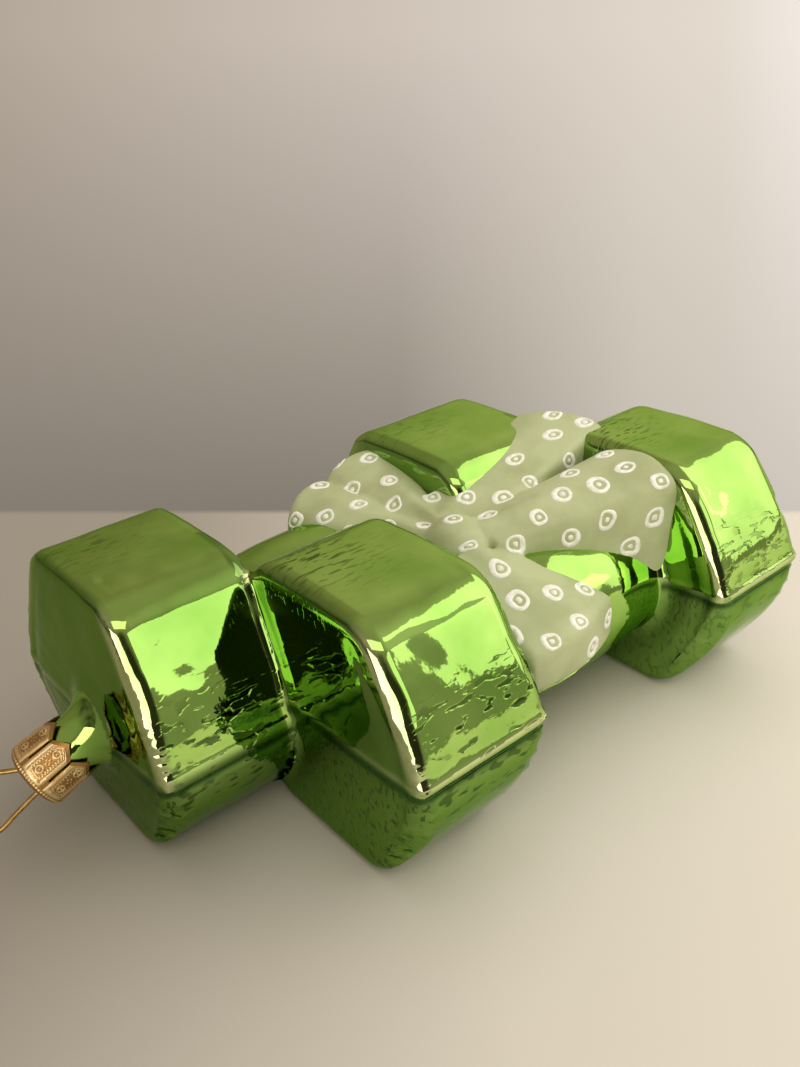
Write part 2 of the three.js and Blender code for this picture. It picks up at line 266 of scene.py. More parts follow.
@dataclass(frozen=True)
class SilveredGreenGlass(Finish):
    """Mould-blown glass, silvered inside, with a clear green lacquer outside.

    The eye sees a green mirror: dark where the surroundings are dark, yellow-green where they
    are bright, with painted shade deepening the ends and the underside, painted highlights along the edges and
    the seam, and ragged where the blown wall crinkles.
    """

    name: str = "silvered glass with green lacquer"
    tones: Stops = ((0.3, "#8dbe54"), (0.62, "#aad16c"))
    patch_mm: float = 14.0
    patch_detail: float = 3.0
    roughness: float = 0.04
    grain_mm: Pair = (2.2, 0.016)
    metallic: float = 1.0
    coat: Triple = (0.38, 0.04, 1.45)
    grazing: str = "#b4d48c"
    # Painted shade: the deep green of the ends, the undersides and the line below the seam.
    painted_shade_tone: str = "#33591c"
    # Painted shade in the sunk dashes.
    dash_shade_tone: str = "#1d330c"
    # Painted highlight: pale lines along the end edges and the seam's crest.
    highlight_tone: str = "#dde6ae"
    swell_mm: Pair = (7.0, 0.07)
    crinkle_mm: Pair = (1.15, 0.03)
    dent_mm: Pair = (1.3, -0.06)
    dent_stretch: Triple = (0.4, 1.8, 0.8)
    dent_cut: Pair = (0.56, 0.63)
    dent_shade: float = 0.85

    def extras(self) -> dict:
        """Pale green reflections at grazing angles."""
        return {"Specular Tint": linear(self.grazing)}

    def dents(self, tree: Tree, place: Socket) -> Socket:
        """Short sunk dashes where the wall crinkles."""
        crinkled = add_node(tree, "Attribute", attribute_name="crinkled").outputs["Fac"]
        return self.relief(tree, place, self.dent_mm[0], 1.0, self.dent_stretch, self.dent_cut, crinkled)

    def tint(self, tree: Tree, place: Socket) -> Socket:
        """Green, with painted shade on the ends, the undersides, below the seam and in the dashes, and painted
        highlights along the edges and the seam.

        Args:
            tree: The material's node tree.
            place: Object coordinates, in metres.

        Returns:
            The colour.
        """
        shade = super().tint(tree, place)
        # The first mark is the share of painted shade, the second the share of painted highlight.
        lacquer, painted_highlight = (add_node(tree, "Attribute", attribute_name=name).outputs["Fac"]
                         for name in ("lacquer", "painted_highlight"))
        # Painted shade: the dashes are darkened in the colour as well as sunk in the bump.
        painted_dash_shade = add_node(tree, "Math", {0: self.dents(tree, place), 1: self.dent_shade}, operation="MULTIPLY")
        layers = ((lacquer, self.painted_shade_tone), (painted_dash_shade.outputs["Value"], self.dash_shade_tone), (painted_highlight, self.highlight_tone))
        for share, tone in layers:
            links = {"Factor": share, "A": shade, "B": linear(tone)}
            shade = add_node(tree, "Mix", links, data_type="RGBA").outputs["Result"]
        return shade

    def normal(self, tree: Tree, place: Socket) -> Socket:
        """A slow swell, a fine ripple, crinkles in patches, and the dashes.

        Args:
            tree: The material's node tree.
            place: Object coordinates, in metres.

        Returns:
            The bumped normal.
        """
        crinkled = add_node(tree, "Attribute", attribute_name="crinkled").outputs["Fac"]
        waves = ((self.swell_mm, 1.0, 1.0), (self.grain_mm, 2.0, 1.0), (self.crinkle_mm, 1.0, crinkled))
        layers = [(self.relief(tree, place, wave, detail, share=share), height)
                  for (wave, height), detail, share in waves]
        return self.layered(tree, [*layers, (self.dents(tree, place), self.dent_mm[1])])


@dataclass(frozen=True)
class SageEnamel(Finish):
    """Matt enamel brushed over the glass in one coat.

    The eye sees a soft grey-green without mirror reflections, in uneven patches of two tones,
    with faint brush marks.
    """

    name: str = "matt sage enamel"
    tones: Stops = ((0.35, "#a4ae7e"), (0.6, "#b6c092"))
    patch_mm: float = 9.0
    patch_detail: float = 4.0
    roughness: float = 0.48
    grain_mm: Pair = (1.6, 0.02)
    grain_stretch: Triple = (0.6, 1.4, 1.0)
    coat: Triple = (0.12, 0.3, 1.5)


@dataclass(frozen=True)
class WhiteEnamel(Finish):
    """Off-white enamel drawn on with a fine brush.

    The eye sees chalky rings with a slightly uneven edge and thickness.
    """

    name: str = "off-white brushed enamel"
    tones: Stops = ((0.36, "#dfe2d2"), (0.58, "#f4f5ee"))
    patch_mm: float = 1.1
    patch_detail: float = 2.0
    roughness: float = 0.5
    grain_mm: Pair = (0.5, 0.02)


@dataclass(frozen=True)
class GiltBrass(Finish):
    """Stamped sheet brass with a warm gilt wash.

    The eye sees a satin pinkish gold that is darker in the stamped lines, with patina and painted shade in
    them.
    """

    name: str = "gilt stamped brass"
    tones: Stops = ((0.35, "#ebc88c"), (0.62, "#fce4b2"))
    patch_mm: float = 2.0
    patch_detail: float = 3.0
    roughness: float = 0.38
    grain_mm: Pair = (0.5, 0.012)
    metallic: float = 1.0
    # Patina and painted shade in the stamped hollows.
    hollow: str = "#b48a50"

    def tint(self, tree: Tree, place: Socket) -> Socket:
        """An uneven wash, darker in the hollows, where patina and painted shade lie.

        Args:
            tree: The material's node tree.
            place: Object coordinates, in metres.

        Returns:
            The colour.
        """
        hollow = add_node(tree, "Attribute", attribute_name="hollow").outputs["Fac"]
        links = {"Factor": hollow, "A": super().tint(tree, place), "B": linear(self.hollow)}
        return add_node(tree, "Mix", links, data_type="RGBA").outputs["Result"]


@dataclass(frozen=True)
class BrassWire(Finish):
    """Drawn brass wire.

    The eye sees a thin satin line with faint marks.
    """

    name: str = "drawn brass wire"
    tones: Stops = ((0.3, "#a5844c"), (0.65, "#c9a767"))
    patch_mm: float = 1.5
    patch_detail: float = 2.0
    roughness: float = 0.28
    grain_mm: Pair = (0.3, 0.006)
    metallic: float = 1.0


# Meshes


def placed(name: str, data: bpy.types.ID) -> Piece:
    """Makes an object at the origin and links it into the scene.

    Args:
        name: The object's name.
        data: Its mesh, lamp or lens.

    Returns:
        The object.
    """
    made = bpy.data.objects.new(name, data)
    bpy.context.scene.collection.objects.link(made)
    return made


def finished(name: str, mesh: bpy.types.Mesh, finish: Finish) -> Piece:
    """Makes a smooth-shaded object at the origin from a mesh in metres.

    Args:
        name: The piece's name.
        mesh: Its mesh, in metres, at its place.
        finish: Its finish.

    Returns:
        The object, linked into the scene.
    """
    mesh.name = name
    mesh.materials.clear()
    mesh.materials.append(finish.material())
    mesh.shade_smooth()
    return placed(name, mesh)


def remeshed(shape: Solid, voxel_mm: float) -> Solid:
    """Unites the closed blocks in a mesh by a voxel remesh.

    Args:
        shape: Overlapping closed blocks, in millimetres. It is freed.
        voxel_mm: The size of a voxel.

    Returns:
        One closed mesh of quads, in millimetres.
    """
    rough = bpy.data.meshes.new("rough")
    shape.to_mesh(rough)
    shape.free()
    holder = placed("rough", rough)
    modifier = holder.modifiers.new("union", "REMESH")
    modifier.mode = "VOXEL"
    modifier.voxel_size = voxel_mm
    evaluated = holder.evaluated_get(bpy.context.evaluated_depsgraph_get())
    result = bmesh.new()
    result.from_mesh(evaluated.to_mesh())
    evaluated.to_mesh_clear()
    bpy.data.objects.remove(holder)
    bpy.data.meshes.remove(rough)
    return result


def coordinates(verts: Iterable[bmesh.types.BMVert]) -> Points:
    """Reads the places of vertices, one row each."""
    return np.array([v.co[:] for v in verts])


def move_to(verts: Iterable[bmesh.types.BMVert], points: Points) -> None:
    """Moves vertices to new places, in their order."""
    for vertex, point in zip(verts, points):
        vertex.co = point


def soften(shape: Solid, rounds: int) -> None:
    """Smooths a mesh.

    Args:
        shape: The mesh.
        rounds: How many times.
    """
    axes = {f"use_axis_{axis}": True for axis in "xyz"}
    for _ in range(rounds):
        bmesh.ops.smooth_vert(shape, verts=shape.verts, factor=0.5, **axes)


def face_out(shape: Solid) -> None:
    """Turns all faces outwards."""
    bmesh.ops.recalc_face_normals(shape, faces=shape.faces)


def circle(shape: Solid, radius: float, segments: int, **settings) -> tuple[list, list]:
    """Adds a circle, and gives its vertices and its edges."""
    verts = bmesh.ops.create_circle(shape, radius=radius, segments=segments, **settings)["verts"]
    return verts, list(dict.fromkeys(e for v in verts for e in v.link_edges))


def extruded(shape: Solid, edges: Sequence[bmesh.types.BMEdge]) -> tuple[list, list]:
    """Extrudes a ring of edges without moving it.

    Args:
        shape: The mesh.
        edges: The ring.

    Returns:
        The new ring's vertices and its edges.
    """
    geometry = bmesh.ops.extrude_edge_only(shape, edges=edges)["geom"]
    verts = [v for v in geometry if isinstance(v, bmesh.types.BMVert)]
    ring = set(verts)
    return verts, [e for e in geometry if isinstance(e, bmesh.types.BMEdge) and ring.issuperset(e.verts)]


def to_metres(shape: Solid) -> bpy.types.Mesh:
    """Scales a mesh from millimetres to metres.

    Args:
        shape: The mesh, in millimetres. It is freed.

    Returns:
        Mesh data, in metres.
    """
    bmesh.ops.scale(shape, vec=(MM, MM, MM), verts=shape.verts)
    mesh = bpy.data.meshes.new("piece")
    shape.to_mesh(mesh)
    shape.free()
    return mesh


def smooth_union(a: np.ndarray, b: np.ndarray, width: float) -> np.ndarray:
    """Joins two distances with a fillet that starts where they differ by less than width."""
    blend = np.clip(width - np.abs(a - b), 0, None) / width
    return np.minimum(a, b) - blend ** 2 * width / 4


def rounded_cut(distances: Sequence[np.ndarray], radius: float) -> np.ndarray:
    """Cuts several distances by each other, with rounded edges.

    Args:
        distances: The distances.
        radius: The edges' radius, about.

    Returns:
        The distance to what all of them share.
    """
    lifted = np.stack(distances) + radius
    inside = np.minimum(lifted.max(axis=0), 0)
    return inside + np.sqrt((np.maximum(lifted, 0) ** 2).sum(axis=0)) - radius


def bell(x: np.ndarray, width: float) -> np.ndarray:
    """A smooth bump of height 1 round zero."""
    return np.exp(-(x / width) ** 2)


def band(x: np.ndarray, at: float, width: float) -> np.ndarray:
    """A smooth bump of height 1 round a place."""
    return bell(x - at, width)


def unevenness(points: Points, wave: float, seed: int) -> np.ndarray:
    """Smooth unevenness between about -1 and 1, as a sum of waves in set directions.

    Args:
        points: Places, in millimetres.
        wave: The mean distance from crest to crest.
        seed: The number that sets the directions.

    Returns:
        One value for each place.
    """
    draw = np.random.default_rng(seed)
    total = np.zeros(len(points))
    count = 14
    for _ in range(count):
        direction = draw.normal(size=3)
        direction *= 2 * math.pi / (wave * draw.uniform(0.7, 1.5) * np.linalg.norm(direction))
        total += np.sin(points @ direction + draw.uniform(0, 2 * math.pi))
    return total / math.sqrt(count)


# Glass


@dataclass
class Neck:
    """The neck's tube and its own frame, which the cap and the hanger share."""

    root: Vector
    outer_radius: float = 4.9
    wall: float = 1.0
    length: float = 14.3
    root_depth: float = 4.0
    tilt: float = math.radians(28)
    yaw: float = math.radians(12)
    hole_roll: float = math.radians(38)

    @property
    def axis(self) -> Vector:
        """The direction from the head's end face to the neck's mouth."""
        level = math.cos(self.tilt)
        return Vector((-level * math.cos(self.yaw), level * math.sin(self.yaw), -math.sin(self.tilt)))

    @property
    def matrix(self) -> Matrix:
        """From the neck's own frame, with +Z out of the mouth and X through both wire holes."""
        axis = self.axis
        level_across = axis.cross(Vector((0, 0, 1))).normalized()
        line = Matrix.Rotation(-self.hole_roll, 3, axis) @ level_across
        turn = Matrix((line, axis.cross(line), axis)).transposed()
        return Matrix.Translation(self.root) @ turn.to_4x4()


@dataclass
class Dumbbell:
    """One dumbbell: its place in the pair, its mould seam's height, and how much longer its far head is."""

    axis_y: float
    centre_x: float
    seam: float
    far_inward: float = 0.0
    far_outward: float = 0.0


@dataclass(frozen=True)
class HeadMarks:
    """Where a head gets painted shade, where its wall crinkles and where it gets painted highlights.

    A band is its height over the mould seam, or how far past the end it lies, and its width, both
    in millimetres. What comes before these two is how strong it is, as a share.
    """

    margin: Pair = (2.5, 3.0)
    off_handle: float = 0.8
    end_starts: float = 1.2
    lower_fade: float = 3.0
    # Painted shade on the ends, more on the outer ends, on the lower slopes and in a line below the seam.
    end_shade: Pair = (0.45, 0.15)
    lower_shade: float = 0.38
    groove: Pair = (-1.6, 0.85)
    groove_on_end: float = 0.6
    upper_crinkles: Triple = (1.0, 5.5, 4.5)
    lower_crinkles: Triple = (0.9, -6.5, 6.5)
    end_crinkles: float = 0.7
    far_share: float = 0.55
    pits_place: Pair = (-6, 7)
    pits_width: float = 9.0
    pits_above: float = 45
    pits: Pair = (0.45, 0.9)
    # Painted highlight: pale along the edges between the ends and the slopes, and along the seam's crest.
    painted_highlight: float = 0.8
    highlight_edge: Pair = (0.6, 1.1)
    highlight_slope: float = 1.5
    highlight_from: float = -1.0
    highlight_seam: Pair = (0.2, 0.55)
    seam_on_end: float = 0.4


@dataclass
class GlassBody:
    """The blown body: four heads, two handles, two fused junctions and the neck.

    The heads are hexagonal blocks. Their faces are filled out from flat by the fields from grown
    to end_fill, and the wall's own marks are the fields from end_ribs to uneven.
    """

    far_end_x: float
    finish: SilveredGreenGlass = field(default_factory=SilveredGreenGlass)
    marks: HeadMarks = HeadMarks()
    head_width: float = 51.6
    head_flat: float = 26.3
    head_height: float = 48.5
    head_length: float = 25.5
    end_draft: float = 1.1
    crease_radius: float = 3.8
    top_radius: float = 2.4
    seam_radius: float = 1.0
    end_radius: float = 2.5
    grown: float = 0.8
    swell: Pair = (1.2, 2.9)
    swell_power: float = 0.8
    slope_fill: float = 0.9
    top_fill: Pair = (1.1, 0.5)
    outer_fill: float = 0.8
    end_fill: Triple = (0.6, 0.4, 9.0)
    end_ribs: tuple[Triple, ...] = ((0.16, 0.0, 1.6), (-0.28, 3.8, 1.8))
    end_reach: float = 9.0
    ridge: Pair = (0.95, 0.95)
    ridge_groove: Triple = (0.3, 1.7, 0.8)
    ridge_on_end: float = 0.1
    ridge_from: float = 6.0
    ridge_blend: Pair = (2.0, 0.3)
    dimples: tuple[Triple, ...] = ((-58.6, 9.6, 49.2), (-16.4, -27.2, 48.4))
    dimple_size: Pair = (0.3, 1.1)
    uneven: tuple[Pair, ...] = ((0.05, 12.0), (0.022, 5.0))
    uneven_from: float = 4.0
    length: float = 100.0
    spacing: float = 32.0
    stagger: float = 25.0
    seams: Pair = (22.6, 27.0)
    far_ends: tuple[Pair, ...] = ((4.0, 0.0), (0.0, -2.1))
    handle_end: float = 13.1
    handle_middle: float = 15.0
    handle_edge: float = 1.0
    handle_sunk: float = 4.0
    junction: Triple = (7.0, 16.8, 27.0)
    junction_edge: float = 2.5
    neck_offset: Pair = (4.3, 0.65)
    neck_edge: float = 0.7
    neck_sunk: float = 3.0
    fillets: Triple = (3.2, 2.2, 3.0)
    neck_fillet: float = 5.0
    voxel: float = 0.68
    block_sides: int = 48
    block_inset: float = 0.8
    block_overlap: float = 6.0
    block_share: float = 0.7
    neck_sides: int = 40
    neck_taper: float = 0.4
    slope_step: float = 0.02
    least_slope: float = 0.2
    longest_move: float = 0.8
    seam_cuts: tuple[float, ...] = (-2.2, -1.6, -1.1, -0.7, -0.35, 0.0, 0.35, 0.7, 1.1)
    cut_reach: float = 1.6
    cut_off_middle: float = 2.0
    cut_weld: float = 0.05

    def __post_init__(self) -> None:
        """Places the two dumbbells and the neck."""
        self.origin_x = self.far_end_x - (self.length + self.stagger) / 2
        half = self.stagger / 2
        self.first = Dumbbell(self.spacing / 2, self.origin_x - half, self.seams[0], *self.far_ends[0])
        self.second = Dumbbell(-self.spacing / 2, self.origin_x + half, self.seams[1], *self.far_ends[1])
        self.reach = (self.length - self.head_length) / 2
        self.middle = self.head_height / 2
        aside, down = self.neck_offset
        end = self.first.centre_x - self.length / 2
        self.neck = Neck(Vector((end, self.first.axis_y - aside, self.middle - down)))

    # The form as a distance

    def head(self, p: Points, dumbbell: Dumbbell, side: int) -> np.ndarray:
        """Distance to one head.

        Args:
            p: Places, in millimetres.
            dumbbell: Its dumbbell.
            side: -1 or 1 along X.

        Returns:
            The distance from each place, negative inside.
        """
        centre, length = self.head_span(dumbbell, side)
        x = np.abs(p[:, 0] - centre) - length / 2
        y = np.abs(p[:, 1] - dumbbell.axis_y)
        z = p[:, 2]
        run = (self.head_width - self.head_flat) / 2
        fill, crown = self.top_fill
        halves, ends, flats, slopes = [], [], [], []
        for level, up, swell in ((self.head_height, 1, self.swell[0]), (0.0, -1, self.swell[1])):
            rise = abs(level - dumbbell.seam)
            height = up * (z - dumbbell.seam)
            share = np.clip(height / rise, 0, 1)
            slope = ((y - self.head_width / 2) * rise + height * run) / math.hypot(rise, run)
            slope = slope - self.grown - swell * np.sin(math.pi * share ** self.swell_power)
            flat = up * (z - level)
            if up > 0:
                slope = slope - self.slope_fill * share
                flat = flat - fill - crown * np.clip(1 - (2 * y / self.head_flat) ** 2, 0, 1)
            flats.append(flat)
            slopes.append(slope)
            halves.append(rounded_cut([slope, flat], self.crease_radius))
            ends.append((x * rise + height * self.end_draft) / math.hypot(rise, self.end_draft))
        section = rounded_cut(halves, self.seam_radius)
        end = np.maximum(*ends)
        from_flat = np.clip(-np.maximum(*flats) / self.end_reach, 0, 1)
        below_slope = -np.maximum(*slopes)
        ribs = sum(height * bell(below_slope - at, width) for height, at, width in self.end_ribs)
        from_edge = np.clip(-np.minimum(section, end), 0, None)
        outer = side * (p[:, 0] - centre) > 0
        inner_fill, less_outside, width = self.end_fill
        pillow = (inner_fill - less_outside * outer) * (1 - bell(from_edge, width))
        end = end - (self.grown + self.outer_fill * outer + pillow) - ribs * from_flat
        radius = self.top_radius + (self.end_radius - self.top_radius) * from_flat
        block = rounded_cut([section, end], radius)
        height, width = self.ridge
        depth, below, groove_width = self.ridge_groove
        seam = height * bell(z - dumbbell.seam, width) - depth * bell(z - dumbbell.seam + below, groove_width)
        over, ahead = self.ridge_blend
        on_side = np.clip((section - end) / over + ahead, 0, 1)
        on_side = self.ridge_on_end + (1 - self.ridge_on_end) * on_side
        return block - seam * on_side * np.clip(z / self.ridge_from, 0, 1)

    def head_span(self, dumbbell: Dumbbell, side: int) -> Pair:
        """Tells where a head's middle lies along X, and its length."""
        inward, outward = (dumbbell.far_inward, dumbbell.far_outward) if side > 0 else (0.0, 0.0)
        centre = dumbbell.centre_x + side * self.reach + (outward - inward) / 2
        return centre, self.head_length + inward + outward

    def handle(self, p: Points, dumbbell: Dumbbell) -> np.ndarray:
        """Distance to a barrel handle, which runs on into its heads."""
        x = p[:, 0] - dumbbell.centre_x
        bare = self.length / 2 - self.head_length
        radius = self.handle_middle - (self.handle_middle - self.handle_end) * (x / bare) ** 2
        across = np.hypot(p[:, 1] - dumbbell.axis_y, p[:, 2] - self.middle)
        return rounded_cut([across - radius, np.abs(x) - bare - self.handle_sunk], self.handle_edge)

    def junction_x(self, side: int) -> float:
        """Tells where the fused glass between two heads lies along X."""
        return self.origin_x + side * (self.reach - self.head_length / 2 + self.stagger / 2)

    def junction_block(self, p: Points, side: int) -> np.ndarray:
        """Distance to the fused glass between two heads that meet end to end."""
        length, width, height = self.junction
        x = np.abs(p[:, 0] - self.junction_x(side))
        y = np.abs(p[:, 1]) / (width / 2)
        z = np.abs(p[:, 2] - self.middle) / (height / 2)
        slant = math.hypot(2 / width, 2 / height)
        return rounded_cut([x - length / 2, (y + z - 1) / slant], self.junction_edge)

    def neck_tube(self, p: Points) -> np.ndarray:
        """Distance to the neck's outside."""
        axis = np.array(self.neck.axis)
        local = p - np.array(self.neck.root)
        along = local @ axis
        across = np.linalg.norm(local - along[:, None] * axis, axis=1)
        ends = (along - self.neck.length, -along - self.neck_sunk)
        return rounded_cut([across - self.neck.outer_radius, *ends], self.neck_edge)

    def distance(self, p: Points) -> np.ndarray:
        """Distance to the whole blown form, with the slow unevenness of its wall.

        Args:
            p: Places, in millimetres.

        Returns:
            The distance from each place, negative inside.
        """
        of_heads, of_pair, of_junction = self.fillets
        pair = []
        for dumbbell in (self.first, self.second):
            whole = self.handle(p, dumbbell)
            for side in (-1, 1):
                whole = smooth_union(whole, self.head(p, dumbbell, side), of_heads)
            pair.append(whole)
        form = smooth_union(*pair, of_pair)
        for side in (-1, 1):
            form = smooth_union(form, self.junction_block(p, side), of_junction)
        form = smooth_union(form, self.neck_tube(p), self.neck_fillet)
        depth, width = self.dimple_size
        for dimple in self.dimples:
            place = np.array(dimple) + (self.origin_x, 0, 0)
            form = form + depth * bell(np.linalg.norm(p - place, axis=1), width)
        slow = sum(height * unevenness(p, wave, SEED + k) for k, (height, wave) in enumerate(self.uneven))
        return form + slow * np.clip(p[:, 2] / self.uneven_from, 0, 1)

    # The mesh

    def blocks(self) -> Solid:
        """Plain closed blocks that overlap where the glass is one.

        Returns:
            The blocks in one mesh, in millimetres.
        """
        shape = bmesh.new()
        for dumbbell in (self.first, self.second):
            for side in (-1, 1):
                self.add_head_block(shape, dumbbell, side)
            place = Matrix.Translation((dumbbell.centre_x, dumbbell.axis_y, self.middle))
            radius = self.handle_middle - self.block_inset
            bmesh.ops.create_cone(shape, cap_ends=True, segments=self.block_sides,
                                  radius1=radius, radius2=radius,
                                  depth=self.length - 2 * self.head_length + self.block_overlap,
                                  matrix=place @ Matrix.Rotation(math.pi / 2, 4, "Y"))
        length, width, height = self.junction
        share = self.block_share
        for side in (-1, 1):
            place = Matrix.Translation((self.junction_x(side), 0, self.middle))
            size = Matrix.Diagonal((length, width * share, height * share, 1))
            bmesh.ops.create_cube(shape, size=1, matrix=place @ size)
        neck = self.neck
        depth = neck.length + neck.root_depth
        place = neck.matrix @ Matrix.Translation((0, 0, (neck.length - neck.root_depth) / 2))
        bmesh.ops.create_cone(shape, cap_ends=True, segments=self.neck_sides, matrix=place, depth=depth,
                              radius1=neck.outer_radius + self.neck_taper, radius2=neck.outer_radius)
        return shape

    def add_head_block(self, shape: Solid, dumbbell: Dumbbell, side: int) -> None:
        """Adds a six-sided prism for one head.

        Args:
            shape: The mesh to add to.
            dumbbell: Its dumbbell.
            side: -1 or 1 along X.
        """
        centre, length = self.head_span(dumbbell, side)
        x = centre - length / 2
        flat, wide = self.head_flat / 2, self.head_width / 2
        outline = [(-flat, 0), (flat, 0), (wide, dumbbell.seam), (flat, self.head_height),
                   (-flat, self.head_height), (-wide, dumbbell.seam)]
        corners = [shape.verts.new((x, dumbbell.axis_y + y, z)) for y, z in outline]
        end = shape.faces.new(corners)
        grown = bmesh.ops.extrude_face_region(shape, geom=[end])["geom"]
        moved = [v for v in grown if isinstance(v, bmesh.types.BMVert)]
        bmesh.ops.translate(shape, vec=(length, 0, 0), verts=moved)
        face_out(shape)

    def settle(self, points: Points, rounds: int) -> Points:
        """Moves points along the slope of the distance until they lie on the form.

        Args:
            points: Places near the form, in millimetres.
            rounds: How many steps to take.

        Returns:
            The places on the form.
        """
        step = self.slope_step
        for _ in range(rounds):
            here = self.distance(points)
            slope = np.stack([self.distance(points + step * axis) - here for axis in np.eye(3)], axis=1) / step
            size = np.maximum((slope ** 2).sum(axis=1), self.least_slope)
            move = slope * (here / size)[:, None]
            points = points - np.clip(move, -self.longest_move, self.longest_move)
        points[:, 2] = np.maximum(points[:, 2], 0)
        return points

    def build(self) -> Piece:
        """Builds the blown body with its open neck.

        Returns:
            The piece.
        """
        shape = remeshed(self.blocks(), self.voxel)
        move_to(shape.verts, self.settle(coordinates(shape.verts), 6))
        soften(shape, 2)
        self.cut_seams(shape)
        move_to(shape.verts, self.settle(coordinates(shape.verts), 4))
        mesh = self.bored(to_metres(shape))
        self.mark(mesh)
        piece = finished("blown_glass", mesh, self.finish)
        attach(piece, Body.GLASS.value)
        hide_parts(Node.GLASS_BODY.value)
        return piece

    def cut_seams(self, shape: Solid) -> None:
        """Cuts edge loops along the mould seam, so that its fine ridge has vertices of its own.

        Args:
            shape: The glass, in millimetres.
        """
        for dumbbell in (self.first, self.second):
            toward = math.copysign(1, dumbbell.axis_y)
            for offset in self.seam_cuts:
                level = dumbbell.seam + offset
                near = [f for f in shape.faces
                        if abs(f.calc_center_median().z - level) < self.cut_reach
                        and toward * f.calc_center_median().y > self.cut_off_middle]
                edges = {e for f in near for e in f.edges}
                verts = {v for f in near for v in f.verts}
                bmesh.ops.bisect_plane(shape, geom=[*verts, *edges, *near], dist=self.cut_weld,
                                       plane_co=(0, 0, level), plane_no=(0, 0, 1))

    def mark(self, mesh: bpy.types.Mesh) -> None:
        """Marks on each vertex how much painted shade it gets, how much the wall crinkles, and how much painted
        highlight it gets.

        Args:
            mesh: The body, in metres.
        """
        flat = np.empty(3 * len(mesh.vertices))
        mesh.vertices.foreach_get("co", flat)
        x, y, z = (flat.reshape(-1, 3) / MM).T
        lacquer, crinkled, painted_highlight = np.zeros((3, len(x)))
        marks = self.marks
        run = (self.head_width - self.head_flat) / 2
        for dumbbell, pitted in zip((self.first, self.second), marks.pits):
            height = z - dumbbell.seam
            rise = self.head_height - dumbbell.seam
            aside = y - dumbbell.axis_y
            from_handle = np.hypot(y + dumbbell.axis_y, z - self.middle) - self.handle_middle
            beside = np.abs(x + dumbbell.centre_x - 2 * self.origin_x) < self.length / 2 - self.head_length + 1
            for side in (-1, 1):
                centre, length = self.head_span(dumbbell, side)
                from_middle = np.abs(x - centre) - length / 2
                head = (np.abs(aside) < self.head_width / 2 + marks.margin[1]) * (from_middle < marks.margin[0])
                head = head * ((from_handle > marks.off_handle) | ~beside)
                end = np.clip(from_middle + marks.end_starts, 0, 1)
                lower = np.clip(-height / marks.lower_fade, 0, 1)
                groove = band(height, *marks.groove)
                outer = (x - centre) * side > 0
                # Painted shade: darker on the ends, more on the outer ends, on the lower slopes and in a line
                # below the seam ridge.
                on_end, on_outer_end = marks.end_shade
                depth = (on_end + on_outer_end * outer + marks.groove_on_end * groove) * end
                depth = depth + (marks.lower_shade * lower + groove) * (1 - end)
                rough = sum(share * band(height, at, width)
                            for share, at, width in (marks.upper_crinkles, marks.lower_crinkles))
                rough = rough * (1 - end) + marks.end_crinkles * end * lower
                rough = rough * (1.0 if side < 0 else marks.far_share)
                from_pits = np.hypot(x - centre - marks.pits_place[0], aside - marks.pits_place[1])
                pits = bell(from_pits, marks.pits_width) * (z > marks.pits_above) * pitted
                # Painted highlight: pale along the edges between the ends and the slopes, and along the seam's
                # crest.
                from_slope = (np.abs(aside) - self.head_width / 2) * rise + np.abs(height) * run
                from_slope = from_slope / math.hypot(rise, run) - self.grown
                edge = band(from_middle, *marks.highlight_edge) * bell(from_slope, marks.highlight_slope)
                edge = edge * (height > marks.highlight_from)
                rim = band(height, *marks.highlight_seam) * (1 - (1 - marks.seam_on_end) * end)
                lacquer = np.where(head, depth, lacquer)
                crinkled = np.where(head, rough + pits, crinkled)
                painted_highlight = np.where(head, marks.painted_highlight * np.maximum(edge, rim), painted_highlight)
        # The first and the last attribute carry painted shade and painted highlight.
        for name, values in (("lacquer", lacquer), ("crinkled", crinkled), ("painted_highlight", painted_highlight)):
            layer = mesh.attributes.new(name, "FLOAT", "POINT")
            layer.data.foreach_set("value", np.clip(values, 0, 1).astype(np.float32))

    def bored(self, mesh: bpy.types.Mesh) -> bpy.types.Mesh:
        """Opens the neck with a bore.

        Args:
            mesh: The closed body, in metres.

        Returns:
            The body with its open neck, in metres.
        """
        neck = self.neck
        drill = bmesh.new()
        start, stop = -neck.root_depth, neck.length + 2
        place = neck.matrix @ Matrix.Translation((0, 0, (start + stop) / 2))
        radius = neck.outer_radius - neck.wall
        bmesh.ops.create_cone(drill, cap_ends=True, segments=self.block_sides, radius1=radius, radius2=radius,
                              depth=stop - start, matrix=place)
        body, cutter = placed("body", mesh), placed("cutter", to_metres(drill))
        modifier = body.modifiers.new("bore", "BOOLEAN")
        modifier.object = cutter
        modifier.operation = "DIFFERENCE"
        modifier.solver = "EXACT"
        evaluated = body.evaluated_get(bpy.context.evaluated_depsgraph_get())
        result = bpy.data.meshes.new_from_object(evaluated)
        for each in (body, cutter):
            bpy.data.objects.remove(each)
        return result


# Bow


@dataclass
class Lobe:
    """One lobe of the bow by its plan and height: left and right corner at the knot, then at the tip."""

    root: tuple[tuple, tuple]
    tip: tuple[tuple, tuple]
    rise: float = 1.8
    reach: float = 1.8
    lip: float = 2.4
    corner: float = 0.2


